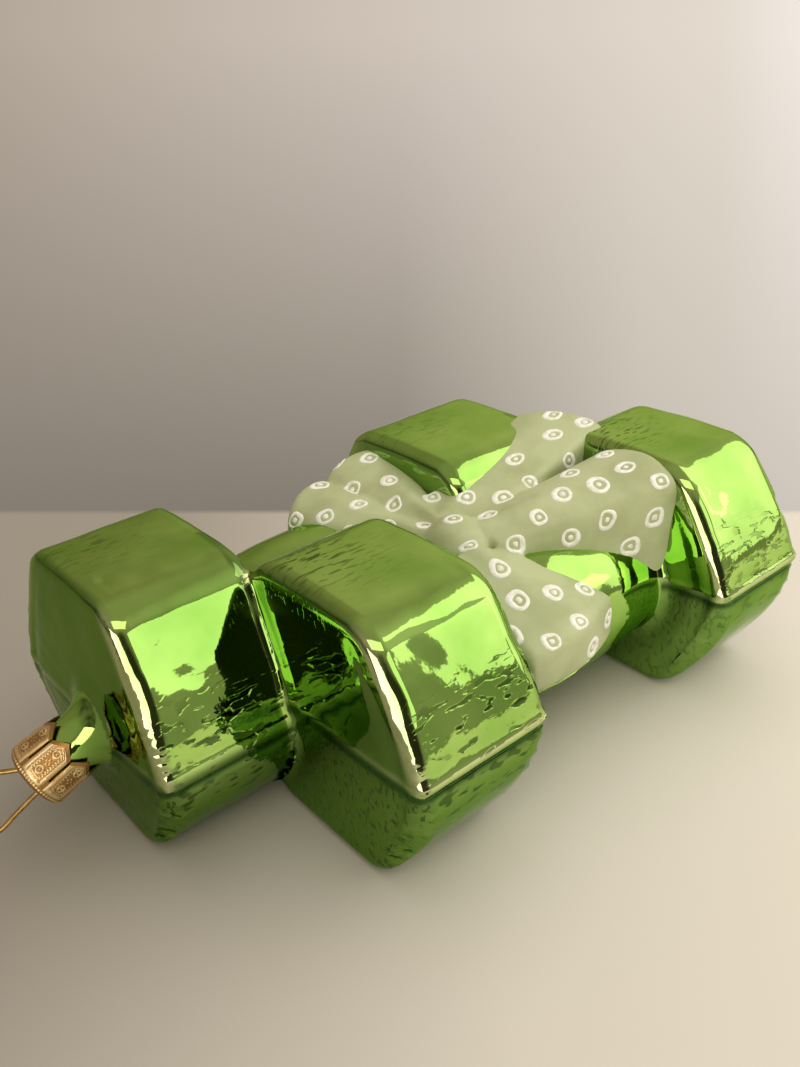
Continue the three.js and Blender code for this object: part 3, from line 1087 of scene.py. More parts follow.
@dataclass
class PaintedBow:
    """The relief bow: a knot and five lobes in one skin, and the rings painted on them."""

    origin_x: float
    seam: float = 24.25
    voxel: float = 0.42
    knot_centre: Triple = (1.6, -8.2, 38.0)
    knot_size: Triple = (6.8, 7.2, 7.0)
    ring_gap: float = 7.0
    ring_clear: float = 1.2
    ring_above_seam: float = 2.2
    ring_upright: float = -0.1
    ring_flat: float = 0.45
    ring_radius: Pair = (1.45, 1.75)
    ring_sides: int = 22
    stroke: Pair = (0.48, 0.62)
    dot: Pair = (0.5, 0.75)
    squash: Pair = (0.8, 1.0)
    wobble: float = 0.07
    stroke_swell: float = 0.3
    stroke_flat: float = 0.65
    stroke_levels: Pair = (-0.12, 0.12)
    dot_middle: float = 0.02
    pleats: Triple = (2.0, 0.4, 0.4)
    lip_bend: float = 0.96
    grid: tuple[int, int] = (60, 44)
    foot_coarser: float = 1.4
    tuck: Pair = (6.0, 0.45)
    enamel: SageEnamel = field(default_factory=SageEnamel)
    paint: WhiteEnamel = field(default_factory=WhiteEnamel)
    glass: SilveredGreenGlass = field(default_factory=SilveredGreenGlass)
    lobes: dict[str, Lobe] = field(default_factory=lambda: {
        "left_outer": Lobe(((-4.5, -6.5, 39.8), (1.5, -3.5, 40.6)), ((-15, 25, 38.5), (-1, 29, 42.5))),
        "left_inner": Lobe(((-1, -3.5, 40.2), (4.5, -3.5, 40.8)), ((-2, 29.5, 42.5), (14.2, 23.8, 46.0)),
                           rise=2.2),
        "upper_tail": Lobe(((0.5, 4.5, 42), (5, -9, 42)), ((36.9, 10, 51.2), (44.4, -7.5, 50.8)),
                           rise=0.9, lip=1.5, corner=0.12),
        "right_loop": Lobe(((4, -6, 42), (4, -17, 40.5)), ((39.0, -11, 48.2), (38.4, -31.0, 47.8)), rise=2.4,
                           lip=2.8, corner=0.16),
        "lower_tail": Lobe(((5.5, -16, 40.4), (-6, -12.5, 40.8)), ((18.2, -32.3, 32), (-7.5, -35.8, 30.5)),
                           lip=1.8),
    })

    def lobe_points(self, lobe: Lobe, s: np.ndarray, t: np.ndarray) -> Points:
        """Places on a lobe's upper side.

        Args:
            lobe: The lobe.
            s: From -1 at the knot to 1 at the tip.
            t: From -1 at the left edge to 1 at the right edge.

        Returns:
            One place for each pair, in millimetres.
        """
        u = (s * np.sqrt(1 - lobe.corner * t ** 2 / 2) + 1) / 2
        v = (t * np.sqrt(1 - lobe.corner * np.clip(s, 0, 1) ** 2 / 2) + 1) / 2
        root = np.array(lobe.root[0]) + np.subtract(*lobe.root[::-1]) * v[:, None]
        tip = np.array(lobe.tip[0]) + np.subtract(*lobe.tip[::-1]) * v[:, None]
        place = root + (tip - root) * u[:, None]
        outward = (tip - root) * (1, 1, 0)
        outward /= np.linalg.norm(outward, axis=1)[:, None]
        crown = np.clip(1 - (2 * v - 1) ** 2, 0, 1)
        place = place + outward * (lobe.reach * np.clip(u, 0, 1) ** 2 * crown)[:, None]
        width = np.linalg.norm(np.subtract(*lobe.tip))
        length = np.linalg.norm(np.subtract(lobe.tip[0], lobe.root[0]))
        from_edge = np.minimum((1 - np.abs(t)) * width / 2, (1 - s) * length / 2)
        curl = np.clip(1 - from_edge / lobe.lip, 0, 1)
        place[:, 2] += lobe.rise * crown - lobe.lip * (1 - np.sqrt(1 - self.lip_bend * curl ** 2))
        count, height, reach = self.pleats
        place[:, 2] += height * np.cos(2 * math.pi * count * v) * bell(u, reach)
        place[:, 0] += self.origin_x
        return place

    def add_lobe(self, shape: Solid, lobe: Lobe, foot: bool = False) -> None:
        """Adds a lobe as a closed block, with walls down to the mould seam, or what tucks in below them.

        Args:
            shape: The mesh to add to.
            lobe: The lobe.
            foot: Whether to add the part below the seam.
        """
        columns, rows = self.grid
        made = bmesh.ops.create_grid(shape, x_segments=columns, y_segments=rows, size=1)["verts"]
        flat = coordinates(made)
        move_to(made, self.lobe_points(lobe, flat[:, 0], flat[:, 1]))
        for vertex in made if foot else ():
            vertex.co.z = self.seam
        faces = dict.fromkeys(f for v in made for f in v.link_faces)
        rim = [e for f in faces for e in f.edges if len(e.link_faces) == 1]
        low, edges = extruded(shape, rim)
        depth, share = self.tuck
        middle = sum((v.co for v in low), Vector()) / len(low)
        for vertex in low:
            if foot:
                vertex.co = middle + (vertex.co - middle) * share
            vertex.co.z = self.seam - depth if foot else self.seam
        bmesh.ops.contextual_create(shape, geom=edges)

    def build_skin(self) -> tuple[Piece, BVHTree, list[tuple[Vector, Vector]]]:
        """Builds the enamelled relief.

        Returns:
            The piece, a search tree of its surface in millimetres, and places with their normals
            all over it.
        """
        shape = bmesh.new()
        for lobe in self.lobes.values():
            self.add_lobe(shape, lobe)
        x, y, z = self.knot_centre
        knot = Matrix.Translation((self.origin_x + x, y, z)) @ Matrix.Diagonal((*self.knot_size, 1))
        bmesh.ops.create_icosphere(shape, subdivisions=4, radius=1, matrix=knot)
        face_out(shape)
        shape = remeshed(shape, self.voxel)
        soften(shape, 6)
        shape.normal_update()
        surface = BVHTree.FromBMesh(shape)
        canvas = [(f.calc_center_median(), f.normal.copy()) for f in shape.faces]
        piece = finished("bow_enamel_relief", to_metres(shape), self.enamel)
        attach(piece, Body.GLASS.value)
        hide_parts(Node.BOW_ENAMEL.value)
        return piece, surface, canvas

    def build_foot(self) -> Piece:
        """Builds the glass that carries the lobes where they reach past the handles, below the seam.

        Returns:
            The piece.
        """
        shape = bmesh.new()
        for lobe in self.lobes.values():
            self.add_lobe(shape, lobe, foot=True)
        face_out(shape)
        shape = remeshed(shape, self.voxel * self.foot_coarser)
        soften(shape, 4)
        piece = finished("bow_glass_underside", to_metres(shape), self.glass)
        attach(piece, Body.GLASS.value)
        return piece

    def ring_places(self, surface: BVHTree, canvas: Sequence[tuple[Vector, Vector]],
                    glass: "GlassBody") -> list[tuple[Vector, Vector]]:
        """Centres of the painted rings, packed evenly over the whole bow.

        Args:
            surface: The relief's surface, in millimetres.
            canvas: Places on it with their normals.
            glass: The glass, which hides a part of the relief.

        Returns:
            A place on the surface and its normal for each ring.
        """
        clear = glass.distance(np.array([place[:] for place, _ in canvas]))
        shown = []
        for (place, normal), gap in zip(canvas, clear):
            above = place.z - self.seam
            if gap < self.ring_clear or above < self.ring_above_seam or normal.z < self.ring_upright:
                continue
            across = normal.orthogonal().normalized() * self.ring_radius[1]
            turns = (Matrix.Rotation(k * math.pi / 2, 3, normal) @ across for k in range(4))
            if all(surface.find_nearest(place + turn)[1].dot(normal) > self.ring_flat for turn in turns):
                shown.append((place, normal))
        places = np.array([place[:] for place, _ in shown])
        near = np.full(len(places), np.inf)
        found = []
        while True:
            fits = np.flatnonzero(near >= self.ring_gap)
            if not len(fits):
                return found
            pick = fits[np.argmin(near[fits])]
            found.append(shown[pick])
            near = np.minimum(near, np.linalg.norm(places - places[pick], axis=1))

    def add_ring(self, shape: Solid, surface: BVHTree, centre: Vector, normal: Vector,
                 draw: random.Random) -> None:
        """Adds one brushed ring and its dot, laid on the surface.

        Args:
            shape: The mesh to add to.
            surface: The relief's surface, in millimetres.
            centre: The ring's centre on the surface.
            normal: The surface's normal there.
            draw: The random numbers of the rings.
        """
        across = normal.orthogonal().normalized()
        along = normal.cross(across)
        squash = draw.uniform(*self.squash)
        lean = draw.uniform(0, math.pi)
        wobble = [draw.uniform(-self.wobble, self.wobble) for _ in range(3)]
        ring = (draw.uniform(*self.ring_radius), draw.uniform(*self.stroke))
        dot = (0.0, draw.uniform(*self.dot))
        sunk, crown = self.stroke_levels
        for radius, half in (ring, dot):
            verts, edges = circle(shape, 1, self.ring_sides, cap_ends=False)
            loops = [verts]
            for _ in range(3):
                verts, edges = extruded(shape, edges)
                loops.append(verts)
            inner = (-1, sunk if radius else crown)
            section = (inner, (-self.stroke_flat, crown), (self.stroke_flat, crown), (1, sunk))
            for loop, (out, lift) in zip(loops, section):
                for vertex in loop:
                    angle = math.atan2(vertex.co.y, vertex.co.x)
                    uneven = 1 + sum(w * math.cos((k + 2) * angle + 5 * w) for k, w in enumerate(wobble))
                    if radius:
                        swollen = 1 + self.stroke_swell * math.sin(angle + lean)
                        distance = radius * uneven + out * half * swollen
                    else:
                        distance = half * (self.dot_middle + (1 - self.dot_middle) * (out + 1) / 2) * uneven
                    flat = Vector((math.cos(angle) * distance, math.sin(angle) * distance * squash))
                    flat.rotate(Matrix.Rotation(lean, 2))
                    guess = centre + across * flat.x + along * flat.y
                    place, up, _, _ = surface.find_nearest(guess)
                    vertex.co = place + up * lift

    def build_rings(self, surface: BVHTree, places: list[tuple]) -> Piece:
        """Builds the painted rings as thin raised strokes on the relief.

        Args:
            surface: The relief's surface, in millimetres.
            places: A place on the surface and its normal for each ring.

        Returns:
            The piece.
        """
        shape = bmesh.new()
        draw = random.Random(SEED + 1)
        for centre, normal in places:
            self.add_ring(shape, surface, centre, normal, draw)
        face_out(shape)
        piece = finished("bow_painted_rings", to_metres(shape), self.paint)
        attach(piece, Body.GLASS.value)
        return piece


# Crown


def spread(half_width: float, distance: np.ndarray) -> np.ndarray:
    """A raised line of height 1 round zero, with a rounded section."""
    return np.sqrt(np.clip(1 - (distance / half_width) ** 2, 0, 1))


@dataclass
class CrownCap:
    """The stamped cap: a disc with two wire holes and a skirt of seven pointed tabs in relief.

    A part of the stamped pattern is its height and half its width, and then its distance from the
    edge, for the border and the inner line, or from the middle of its boss.
    """

    neck: Neck
    finish: GiltBrass = field(default_factory=GiltBrass)
    rim_radius: float = 6.1
    tip_radius: float = 5.75
    sheet: float = 0.35
    height: float = 9.3
    top: float = 15.25
    shoulder: float = 0.9
    bend: float = 3.1
    tabs: int = 7
    tab_steps: int = 45
    slit_steps: int = 3
    slit_length: float = 6.4
    tab_point: float = 1.9
    hole_radius: float = 0.75
    hole_spacing: float = 4.6
    border: float = 0.75
    bead_pitch: float = 0.55
    bead_line: float = 1.3
    boss_levels: Pair = (2.6, 6.1)
    slit_half: float = 0.18
    head_gap: float = 0.75
    head_margin: float = 0.5
    border_line: Pair = (0.13, 0.05)
    inner_line: Triple = (0.08, 0.12, 1.0)
    bead: Pair = (0.13, 0.19)
    bead_gap: Pair = (-0.10, 0.10)
    boss: tuple[Triple, ...] = ((0.14, 0.17, 0.62), (0.14, 0.2, 0.0), (-0.08, 0.1, 0.32))
    buttons: Triple = (0.11, 0.17, 0.42)
    rim_beads: int = 9
    rim_bead: Pair = (0.16, 0.24)
    rim_raise: float = 0.05
    pattern_inset: float = 0.3
    ground: float = 0.12
    hollow_below: float = 0.09
    disc_inset: float = 0.6
    disc_edge: float = 0.3
    shoulder_steps: int = 8
    rows: int = 68
    hole_sides: int = 24

    def profile(self) -> list[Vector]:
        """The outer section from the disc's edge over the shoulder down to the tips.

        Returns:
            Its points, in the neck's frame.
        """
        r = self.shoulder
        points = [Vector((self.rim_radius - r - self.disc_inset, 0, self.top))]
        for step in range(self.shoulder_steps + 1):
            angle = math.pi / 2 * (1 - step / self.shoulder_steps)
            points.append(Vector((self.rim_radius - r + r * math.cos(angle), 0,
                                  self.top - r + r * math.sin(angle))))
        stop = self.top - self.height
        for row in range(1, self.rows + 1):
            z = self.top - r + (stop - self.top + r) * row / self.rows
            lean = max(0.0, (self.top - self.bend - z) / (self.height - self.bend))
            points.append(Vector((self.rim_radius + (self.tip_radius - self.rim_radius) * lean, 0, z)))
        return points

    def relief(self, u: np.ndarray, v: np.ndarray) -> np.ndarray:
        """The stamped pattern's height on a tab.

        Args:
            u: Distance from the tab's middle line, in millimetres.
            v: Height above the tips.

        Returns:
            The height of the pattern, in millimetres.
        """
        half = math.pi * self.tip_radius / self.tabs - self.slit_half
        slope = self.tab_point / (half + self.slit_half)
        side = half - np.abs(u)
        foot = (v - slope * np.abs(u)) / math.hypot(1, slope)
        head = self.height - self.shoulder - self.head_gap - v
        edge = np.minimum(np.minimum(side, foot), head + self.head_margin)
        height, inset = self.border_line
        raised = height * spread(self.border / 2, edge - self.border / 2 - inset)
        height, width, inset = self.inner_line
        raised += height * spread(width, edge - inset)
        along = np.where(side < foot, v, u)
        row = np.minimum(side, foot)
        beads = np.abs((along / self.bead_pitch) % 1 - 0.5) * self.bead_pitch
        for (height, width), off in ((self.bead, beads), (self.bead_gap, self.bead_pitch / 2 - beads)):
            raised += height * spread(width, np.hypot(off, row - self.bead_line)) * (head > 0)
        for level in self.boss_levels:
            for height, width, radius in self.boss:
                raised += height * spread(width, np.hypot(u, v - level) - radius)
        middle = sum(self.boss_levels) / 2
        height, width, off = self.buttons
        for across, up in ((0, off), (0, -off), (off, 0), (-off, 0)):
            raised += height * spread(width, np.hypot(u - across, v - middle - up))
        return raised

    def build(self) -> Piece:
        """Builds the cap in the neck's frame and sets it on the neck.

        Returns:
            The piece.
        """
        columns = self.tabs * self.tab_steps
        shape = bmesh.new()
        line = [shape.verts.new(p) for p in self.profile()]
        edges = [shape.edges.new(pair) for pair in zip(line, line[1:])]
        bmesh.ops.spin(shape, geom=[*line, *edges], cent=(0, 0, 0), axis=(0, 0, 1), angle=2 * math.pi,
                       steps=columns, use_merge=True)
        self.cut_slits(shape)
        self.stamp(shape)
        self.close_disc(shape)
        face_out(shape)
        bmesh.ops.solidify(shape, geom=shape.faces, thickness=self.sheet)
        face_out(shape)
        bmesh.ops.transform(shape, matrix=self.neck.matrix, verts=shape.verts)
        piece = finished("crown_cap_stamped", to_metres(shape), self.finish)
        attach(piece, Body.CAP.value)
        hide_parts(Node.CROWN_CAP.value)
        return piece

    def cut_slits(self, shape: Solid) -> None:
        """Opens the slits between the tabs, which stand half a tab away from the first wire hole.

        Args:
            shape: The spun sheet, in the neck's frame.
        """
        stop = self.top - self.height + self.slit_length
        step = 2 * math.pi / (self.tabs * self.tab_steps)
        gone = []
        for face in shape.faces:
            middle = face.calc_center_median()
            turn = math.atan2(middle.y, middle.x) / step - self.tab_steps / 2
            from_slit = abs((turn + self.tab_steps / 2) % self.tab_steps - self.tab_steps / 2)
            if middle.z < stop and from_slit < self.slit_steps / 2:
                gone.append(face)
        bmesh.ops.delete(shape, geom=gone, context="FACES")

    def stamp(self, shape: Solid) -> None:
        """Points the tabs, raises their pattern and the beads round the rim, and marks the hollows.

        Args:
            shape: The spun sheet with its slits open, in the neck's frame.
        """
        places = coordinates(shape.verts)
        radius = np.hypot(places[:, 0], places[:, 1])
        angle = np.arctan2(places[:, 1], places[:, 0])
        sector = 2 * math.pi / self.tabs
        u = ((angle + sector / 2) % sector - sector / 2) * radius
        tips = self.top - self.height
        v = places[:, 2] - tips
        half = math.pi * self.tip_radius / self.tabs
        lift = self.tab_point * np.clip(np.abs(u) / half, 0, 1)
        v = np.where(v < self.slit_length, lift + v * (1 - lift / self.slit_length), v)
        raised = self.relief(u, v) * (radius > self.rim_radius - self.pattern_inset)
        count = self.tabs * self.rim_beads
        beads = np.abs((angle / (2 * math.pi) * count) % 1 - 0.5) * 2 * math.pi * self.rim_radius / count
        rim = self.height - self.shoulder + self.rim_raise
        height, width = self.rim_bead
        raised += height * spread(width, np.hypot(beads, v - rim))
        curved = v > self.height - self.shoulder
        outward = np.clip((radius - self.rim_radius + self.shoulder) / self.shoulder, 0, 1)
        outward = np.where(curved, outward, 1)
        upward = np.sqrt(1 - outward ** 2)
        lifted = raised - self.ground
        grown = radius + lifted * outward
        places = np.stack([np.cos(angle) * grown, np.sin(angle) * grown, v + tips + lifted * upward], axis=1)
        move_to(shape.verts, places)
        # The hollows get patina and painted shade in the colour.
        hollow = shape.verts.layers.float.new("hollow")
        for vertex, value in zip(shape.verts, np.clip(1 - raised / self.hollow_below, 0, 1)):
            vertex[hollow] = value

    def close_disc(self, shape: Solid) -> None:
        """Closes the top with a flat disc round the two wire holes.

        Args:
            shape: The stamped sheet, in the neck's frame.
        """
        edge = self.rim_radius - self.shoulder - self.disc_edge
        rim = [e for e in shape.edges if len(e.link_faces) == 1
               and all(math.hypot(v.co.x, v.co.y) < edge for v in e.verts)]
        for side in (-1, 1):
            place = Matrix.Translation((side * self.hole_spacing / 2, 0, self.top - self.ground))
            rim += circle(shape, self.hole_radius, self.hole_sides, cap_ends=False, matrix=place)[1]
        bmesh.ops.triangle_fill(shape, use_beauty=True, edges=rim, normal=(0, 0, 1))


@dataclass
class WireHanger:
    """The wire: two splayed legs inside the neck and a loop outside the cap."""

    neck: Neck
    finish: BrassWire = field(default_factory=BrassWire)
    radius: float = 0.45
    cap_top: float = 15.25
    leg_length: float = 11.0
    leg_foot: float = 1.65
    leg_tip: float = 3.1
    hole: float = 2.3
    straight: float = 5.2
    rise: float = 0.5
    loop_radius: float = 5.1
    loop_centre: float = 8.4
    lean: float = math.radians(12.5)
    open_angle: float = math.radians(35)
    step: float = 0.3
    sides: int = 14
    loop_steps: int = 40
    bend_rounds: int = 12

    def path(self) -> Points:
        """The wire's centre line in the neck's frame, evenly stepped and with soft bends.

        Returns:
            One row for each point.
        """
        leg = np.array([(self.leg_tip, -self.leg_length), (self.leg_tip, -self.leg_length + self.leg_foot),
                        (self.hole, -self.straight), (self.hole, self.rise)])
        angle = np.linspace(-self.open_angle, math.pi + self.open_angle, self.loop_steps)
        loop = np.stack([self.loop_radius * np.cos(angle),
                         self.loop_centre + self.loop_radius * np.sin(angle)], axis=1)
        over, up = math.sin(self.lean), math.cos(self.lean)
        loop = loop @ np.array([(up, -over), (over, up)]) + (0, self.rise)
        corners = np.concatenate([leg, loop, leg[::-1] * (-1, 1)])
        run = np.concatenate([[0], np.cumsum(np.linalg.norm(np.diff(corners, axis=0), axis=1))])
        even = np.arange(0, run[-1], self.step)
        line = np.stack([np.interp(even, run, corners[:, k]) for k in (0, 1)], axis=1)
        for _ in range(self.bend_rounds):
            line[1:-1] = (line[:-2] + line[1:-1] + line[2:]) / 3
        return np.stack([line[:, 0], np.zeros(len(line)), line[:, 1] + self.cap_top], axis=1)

    def build(self) -> Piece:
        """Builds the wire as a round bar along its line.

        Returns:
            The piece.
        """
        line = self.path()
        ahead = np.gradient(line, axis=0)
        ahead /= np.linalg.norm(ahead, axis=1)[:, None]
        sideways = np.cross((0, 1, 0), ahead)
        shape = bmesh.new()
        ring, edges = circle(shape, self.radius, self.sides, cap_ends=True)
        last, last_across = np.zeros(3), np.array((1.0, 0.0, 0.0))
        for index, (place, across) in enumerate(zip(line, sideways)):
            if index:
                ring, edges = extruded(shape, edges)
            for vertex in ring:
                offset = np.array(vertex.co) - last
                turn = math.atan2(offset[1], offset @ last_across)
                vertex.co = place + self.radius * (math.cos(turn) * across + math.sin(turn) * np.eye(3)[1])
            last, last_across = place, across
        bmesh.ops.contextual_create(shape, geom=edges)
        face_out(shape)
        bmesh.ops.transform(shape, matrix=self.neck.matrix, verts=shape.verts)
        piece = finished("wire_hanger_drawn", to_metres(shape), self.finish)
        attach(piece, Body.HANGER.value)
        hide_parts(Node.WIRE_HANGER.value)
        return piece

# Studio


@dataclass(frozen=True)
class SoftLamp:
    """A flat soft light that faces the ornament, by the directions that it fills as seen from there."""

    name: str
    azimuth: float
    elevation: float
    span: Pair
    radiance: float
    colour: str
    mirrored: bool = True
    distance: float = 1.2
    target: Triple = (0, 0, 0.03)

    def hang(self) -> None:
        """Puts the lamp in the scene, with the power that gives its radiance."""
        turn, rise = math.radians(self.azimuth), math.radians(self.elevation)
        level = math.cos(rise)
        place = self.distance * Vector((level * math.cos(turn), level * math.sin(turn), math.sin(rise)))
        data = bpy.data.lights.new(self.name, "AREA")
        data.shape = "RECTANGLE"
        data.size, data.size_y = (2 * self.distance * math.tan(math.radians(s / 2)) for s in self.span)
        data.energy = self.radiance * math.pi * data.size * data.size_y
        data.color = linear(self.colour)[:3]
        holder = placed(self.name, data)
        holder.visible_glossy = self.mirrored
        holder.location = place
        holder.rotation_euler = (Vector(self.target) - place).to_track_quat("-Z", "Y").to_euler()


@dataclass
class Studio:
    """The floor, the lamps, the room that the glass mirrors, and the camera.

    Each patch of the room is a direction, the limits between which it fades in, and its tone.
    """

    camera_place: Triple = (-95.17, -127.87, 128.23)
    camera_right: Triple = (0.76100939, -0.64665604, -0.0519679)
    camera_down: Triple = (-0.33827497, -0.32718664, -0.88233721)
    camera_forward: Triple = (0.55356548, 0.68904634, -0.46773966)
    focal_px: float = 1000.0
    picture_px: tuple[int, int] = (800, 1067)
    sensor_mm: float = 36.0
    clip_m: Pair = (0.01, 100)
    view: Pair = (0.6, 0.8)
    table_end_px: float = 512.0
    table_edge: float = 0.0015
    table_roughness: float = 0.85
    # Painted light on the table: its tone runs from darker on the left to lighter on the right.
    painted_light_sweep: Pair = (-0.10, 0.14)
    table: Stops = ((0.0, "#989289"), (0.16, "#9a948a"), (0.5, "#cfcac1"), (1.0, "#e8e3da"))
    floor_size: float = 60000.0
    surround: str = "#cbc2b2"
    lit_reach: Pair = (0.42, 0.8)
    wall_across: Pair = (-0.4, 0.4)
    wall_up: Pair = (-0.02, -0.50)
    # Painted light on the wall: darker to the left and low down, lighter to the right and upwards.
    wall_low: Stops = (
        (0.0, "#857c72"), (0.5, "#827b6f"), (0.63, "#a39b8f"), (0.8, "#c4bcb0"), (1.0, "#cec6ba"))
    wall_high: Stops = ((0.0, "#b4a89a"), (0.5, "#d0c4b9"), (0.9, "#e4dace"), (1.0, "#f1e8e0"))
    room_scale: float = 3.5
    room_tones: Stops = ((0.4, "#423d36"), (0.6, "#7c7368"))
    room_patches: tuple[tuple[Triple, Pair, str], ...] = (
        ((0.00, 0.00, 1.00), (0.20, 0.60), "#b3a796"),
        ((0.15, 0.88, 0.46), (0.55, 0.85), "#a29280"),
        ((0.83, 0.40, 0.38), (0.76, 0.98), "#dccbb8"),
        ((0.72, -0.46, 0.52), (0.84, 0.95), "#e0d9ca"),
        ((0.48, -0.87, 0.06), (0.88, 0.97), "#a9a291"),
        ((-0.30, -0.90, 0.16), (0.90, 0.96), "#3d382e"),
    )
    lamps: tuple[SoftLamp, ...] = (
        SoftLamp("window_tall", -25, 29, (34, 50), 1.12, "#fffbee"),
        SoftLamp("window", -48, 22, (18, 15), 1.25, "#fffbee"),
        SoftLamp("window_beyond", -74, 23, (19, 15), 1.3, "#f3fbe2"),
        SoftLamp("window_left", -150, 12, (40, 26), 3.0, "#fff8f0"),
        SoftLamp("lamp_above", -112, 52, (50, 22), 1.6, "#fff4e4"),
        SoftLamp("ceiling_glow", -20, 76, (70, 70), 1.05, "#fffcf6", mirrored=False),
    )

    def place_camera(self) -> None:
        """Sets the camera where the photograph was taken from."""
        lens = bpy.data.cameras.new("photo_camera")
        lens.sensor_width = self.sensor_mm
        lens.lens = self.focal_px / max(self.picture_px) * self.sensor_mm
        lens.clip_start, lens.clip_end = self.clip_m
        camera = placed("photo_camera", lens)
        axes = (Vector(self.camera_right), -Vector(self.camera_down), -Vector(self.camera_forward))
        turn = Matrix(axes).transposed()
        camera.matrix_world = Matrix.Translation(Vector(self.camera_place) * MM) @ turn.to_4x4()
        bpy.context.scene.camera = camera

    def floor_point(self, column: float, row: float) -> Vector:
        """Finds the place on the floor that a point of the picture shows.

        Args:
            column: Pixels from the picture's left edge.
            row: Pixels from its top edge.

        Returns:
            The place, in metres.
        """
        across = (column - self.picture_px[0] / 2) / self.focal_px
        down = (row - self.picture_px[1] / 2) / self.focal_px
        ray = Vector(self.camera_forward) + Vector(self.camera_right) * across + Vector(self.camera_down) * down
        place = Vector(self.camera_place)
        return (place - ray * (place.z / ray.z)) * MM

    @staticmethod
    def along(tree: Tree, place: Socket, axis: Sequence[float], limits: Pair) -> Socket:
        """Tells how far something lies along an axis, as a share between two limits.

        Args:
            tree: The node tree.
            place: The place or direction.
            axis: The axis.
            limits: What becomes 0 and what becomes 1.

        Returns:
            The share.
        """
        far = add_node(tree, "VectorMath", {0: place, 1: tuple(axis)}, operation="DOT_PRODUCT")
        return add_node(tree, "MapRange", {
            "Value": far.outputs["Value"],
            "From Min": limits[0],
            "From Max": limits[1],
        }).outputs["Result"]

    def fan(self, tree: Tree, ray: Socket, axis: Triple, limits: Pair) -> Socket:
        """Tells how far off the camera's line something lies, as a share of its distance.

        Args:
            tree: The node tree.
            ray: Its direction from the camera's place.
            axis: The direction in which the distance off the line is told.
            limits: What becomes 0 and what becomes 1.

        Returns:
            The share between both.
        """
        off, ahead = (add_node(tree, "VectorMath", {0: ray, 1: line}, operation="DOT_PRODUCT").outputs["Value"]
                      for line in (axis, self.camera_forward))
        share = add_node(tree, "Math", {0: off, 1: ahead}, operation="DIVIDE")
        return add_node(tree, "MapRange", {
            "Value": share.outputs["Value"],
            "From Min": limits[0],
            "From Max": limits[1],
        }).outputs["Result"]

    def pictured(self, tree: Tree, ray: Socket) -> Socket:
        """Tells whether a direction lies in the photograph's field of view: 1 inside, 0 well outside."""
        straight = add_node(tree, "VectorMath", {0: ray}, operation="NORMALIZE").outputs["Vector"]
        return self.along(tree, straight, self.camera_forward, self.view)

    def wall_tone(self, tree: Tree, ray: Socket) -> Socket:
        """The wall behind the table, with painted light: darker on the left and near the table, lighter to the
        right and upwards, and plain elsewhere.

        Args:
            tree: The node tree.
            ray: The direction from the camera's place.

        Returns:
            Its colour.
        """
        across = self.fan(tree, ray, self.camera_right, self.wall_across)
        up = self.fan(tree, ray, self.camera_down, self.wall_up)
        low, high = (add_node(tree, "ValToRGB", {"Fac": across}, stops).outputs["Color"]
                     for stops in (self.wall_low, self.wall_high))
        wall = add_node(tree, "Mix", {"Factor": up, "A": low, "B": high}, data_type="RGBA")
        return add_node(tree, "Mix", {
            "Factor": self.pictured(tree, ray),
            "A": linear(self.surround),
            "B": wall.outputs["Result"],
        }, data_type="RGBA").outputs["Result"]

    def lay_floor(self) -> None:
        """Lays a pale floor with painted light across it, which ends in the wall's tone past the table's edge.
        """
        shape = bmesh.new()
        bmesh.ops.create_grid(shape, x_segments=1, y_segments=1, size=self.floor_size / 2)
        mesh = to_metres(shape)
        floor = placed("floor", mesh)
        mesh.materials.append(self.paper())

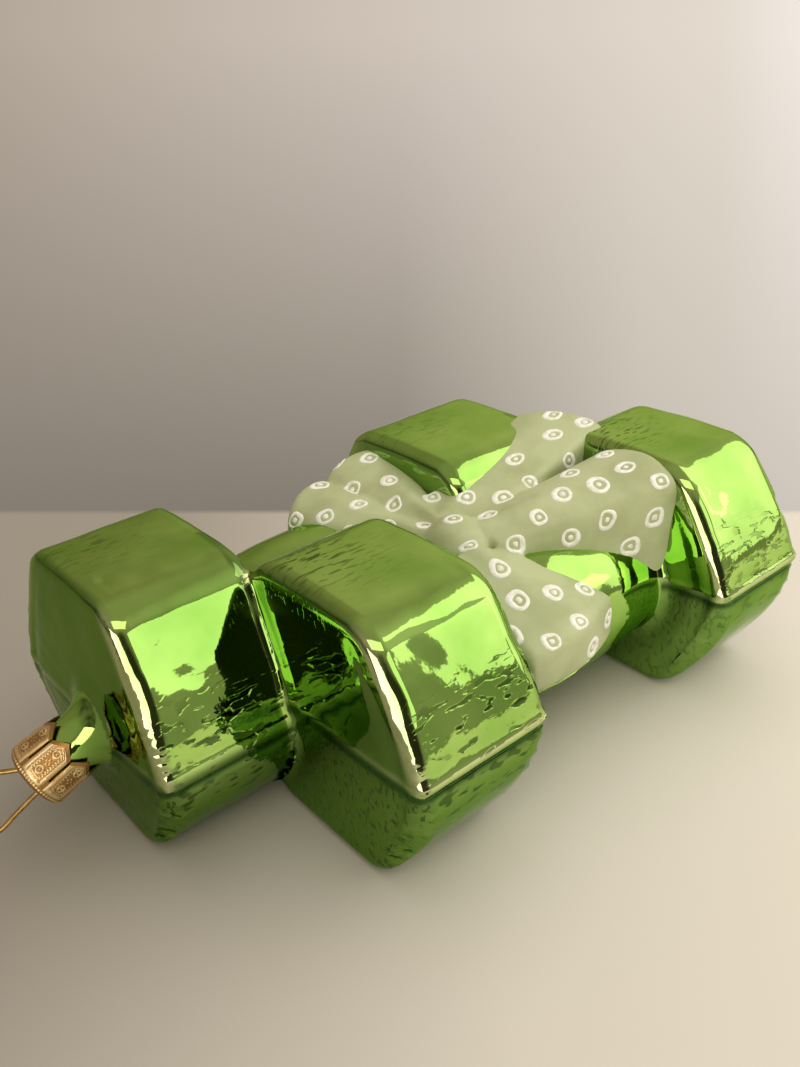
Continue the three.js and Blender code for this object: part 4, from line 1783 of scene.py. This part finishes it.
    def paper(self) -> bpy.types.Material:
        """Pale matt paper with painted light, darker to the left and lighter to the right. Past the table's
        edge the camera sees the wall's tone in its place, as a glow.

        Returns:
            The material.
        """
        made = bpy.data.materials.new("matt paper")
        tree = emptied(made)
        place = add_node(tree, "TexCoord").outputs["Object"]
        left, right = (self.floor_point(column, self.table_end_px) for column in (0, self.picture_px[0]))
        beyond = Vector((left.y - right.y, right.x - left.x, 0)).normalized()
        edge = left.dot(beyond)
        past = self.along(tree, place, beyond, (edge - self.table_edge, edge + self.table_edge))
        # Painted light: the table's tone runs from dark on the left to light on the right.
        sweep = self.along(tree, place, self.camera_right, self.painted_light_sweep)
        table = add_node(tree, "ValToRGB", {"Fac": sweep}, self.table).outputs["Color"]
        shader = add_node(tree, "BsdfPrincipled", {"Base Color": table, "Roughness": self.table_roughness})
        camera = tuple(Vector(self.camera_place) * MM)
        ray = add_node(tree, "VectorMath", {0: place, 1: camera}, operation="SUBTRACT").outputs["Vector"]
        wall = add_node(tree, "Emission", {"Color": self.wall_tone(tree, ray)})
        distance = add_node(tree, "VectorMath", {0: place}, operation="LENGTH")
        far = add_node(tree, "MapRange", {
            "Value": distance.outputs["Value"],
            "From Min": self.lit_reach[0],
            "From Max": self.lit_reach[1],
        })
        seen = add_node(tree, "LightPath").outputs["Is Camera Ray"]
        steps = (("MULTIPLY", self.pictured(tree, ray)), ("MAXIMUM", far.outputs["Result"]), ("MULTIPLY", seen))
        share = past
        for operation, other in steps:
            share = add_node(tree, "Math", {0: share, 1: other}, operation=operation).outputs["Value"]
        both = add_node(tree, "MixShader", {0: share, 1: shader.outputs["BSDF"], 2: wall.outputs["Emission"]})
        add_node(tree, "OutputMaterial", {"Surface": both.outputs["Shader"]})
        return made

    def room(self) -> None:
        """Makes the room that the glass mirrors: a warm wall ahead, a pale ceiling, and dark behind."""
        world = bpy.data.worlds.new("room")
        bpy.context.scene.world = world
        tree = emptied(world)
        ray = add_node(tree, "TexCoord").outputs["Generated"]
        uneven = add_node(tree, "TexNoise", {"Vector": ray, "Scale": self.room_scale, "Detail": 2.0})
        colour = add_node(tree, "ValToRGB", {"Fac": uneven.outputs["Fac"]}, self.room_tones).outputs["Color"]
        layers = [(self.along(tree, ray, Vector(centre).normalized(), limits), linear(tone))
                  for centre, limits, tone in self.room_patches]
        seen = add_node(tree, "LightPath").outputs["Is Camera Ray"]
        for share, tone in (*layers, (seen, self.wall_tone(tree, ray))):
            links = {"Factor": share, "A": colour, "B": tone}
            colour = add_node(tree, "Mix", links, data_type="RGBA").outputs["Result"]
        sky = add_node(tree, "Background", {"Color": colour, "Strength": 1.0})
        add_node(tree, "OutputWorld", {"Surface": sky.outputs["Background"]})

    def build(self) -> None:
        """Builds the whole studio."""
        self.place_camera()
        self.lay_floor()
        for lamp in self.lamps:
            lamp.hang()
        self.room()
        bpy.context.scene.view_settings.view_transform = "Standard"


def main() -> None:
    """Builds the studio and the ornament."""
    logging.basicConfig(level=logging.INFO, format="%(name)s: %(message)s")
    Studio().build()
    body = GlassBody(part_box(Node.GLASS_BODY.value)[1].x / MM)
    pieces = [body.build()]
    bow = PaintedBow(body.origin_x)
    skin, surface, canvas = bow.build_skin()
    pieces += [skin, bow.build_rings(surface, bow.ring_places(surface, canvas, body)), bow.build_foot()]
    pieces += [CrownCap(body.neck).build(), WireHanger(body.neck).build()]
    for piece in pieces:
        log.info("%s: %d faces", piece.name, len(piece.data.polygons))


if __name__ == "__main__":
    main()
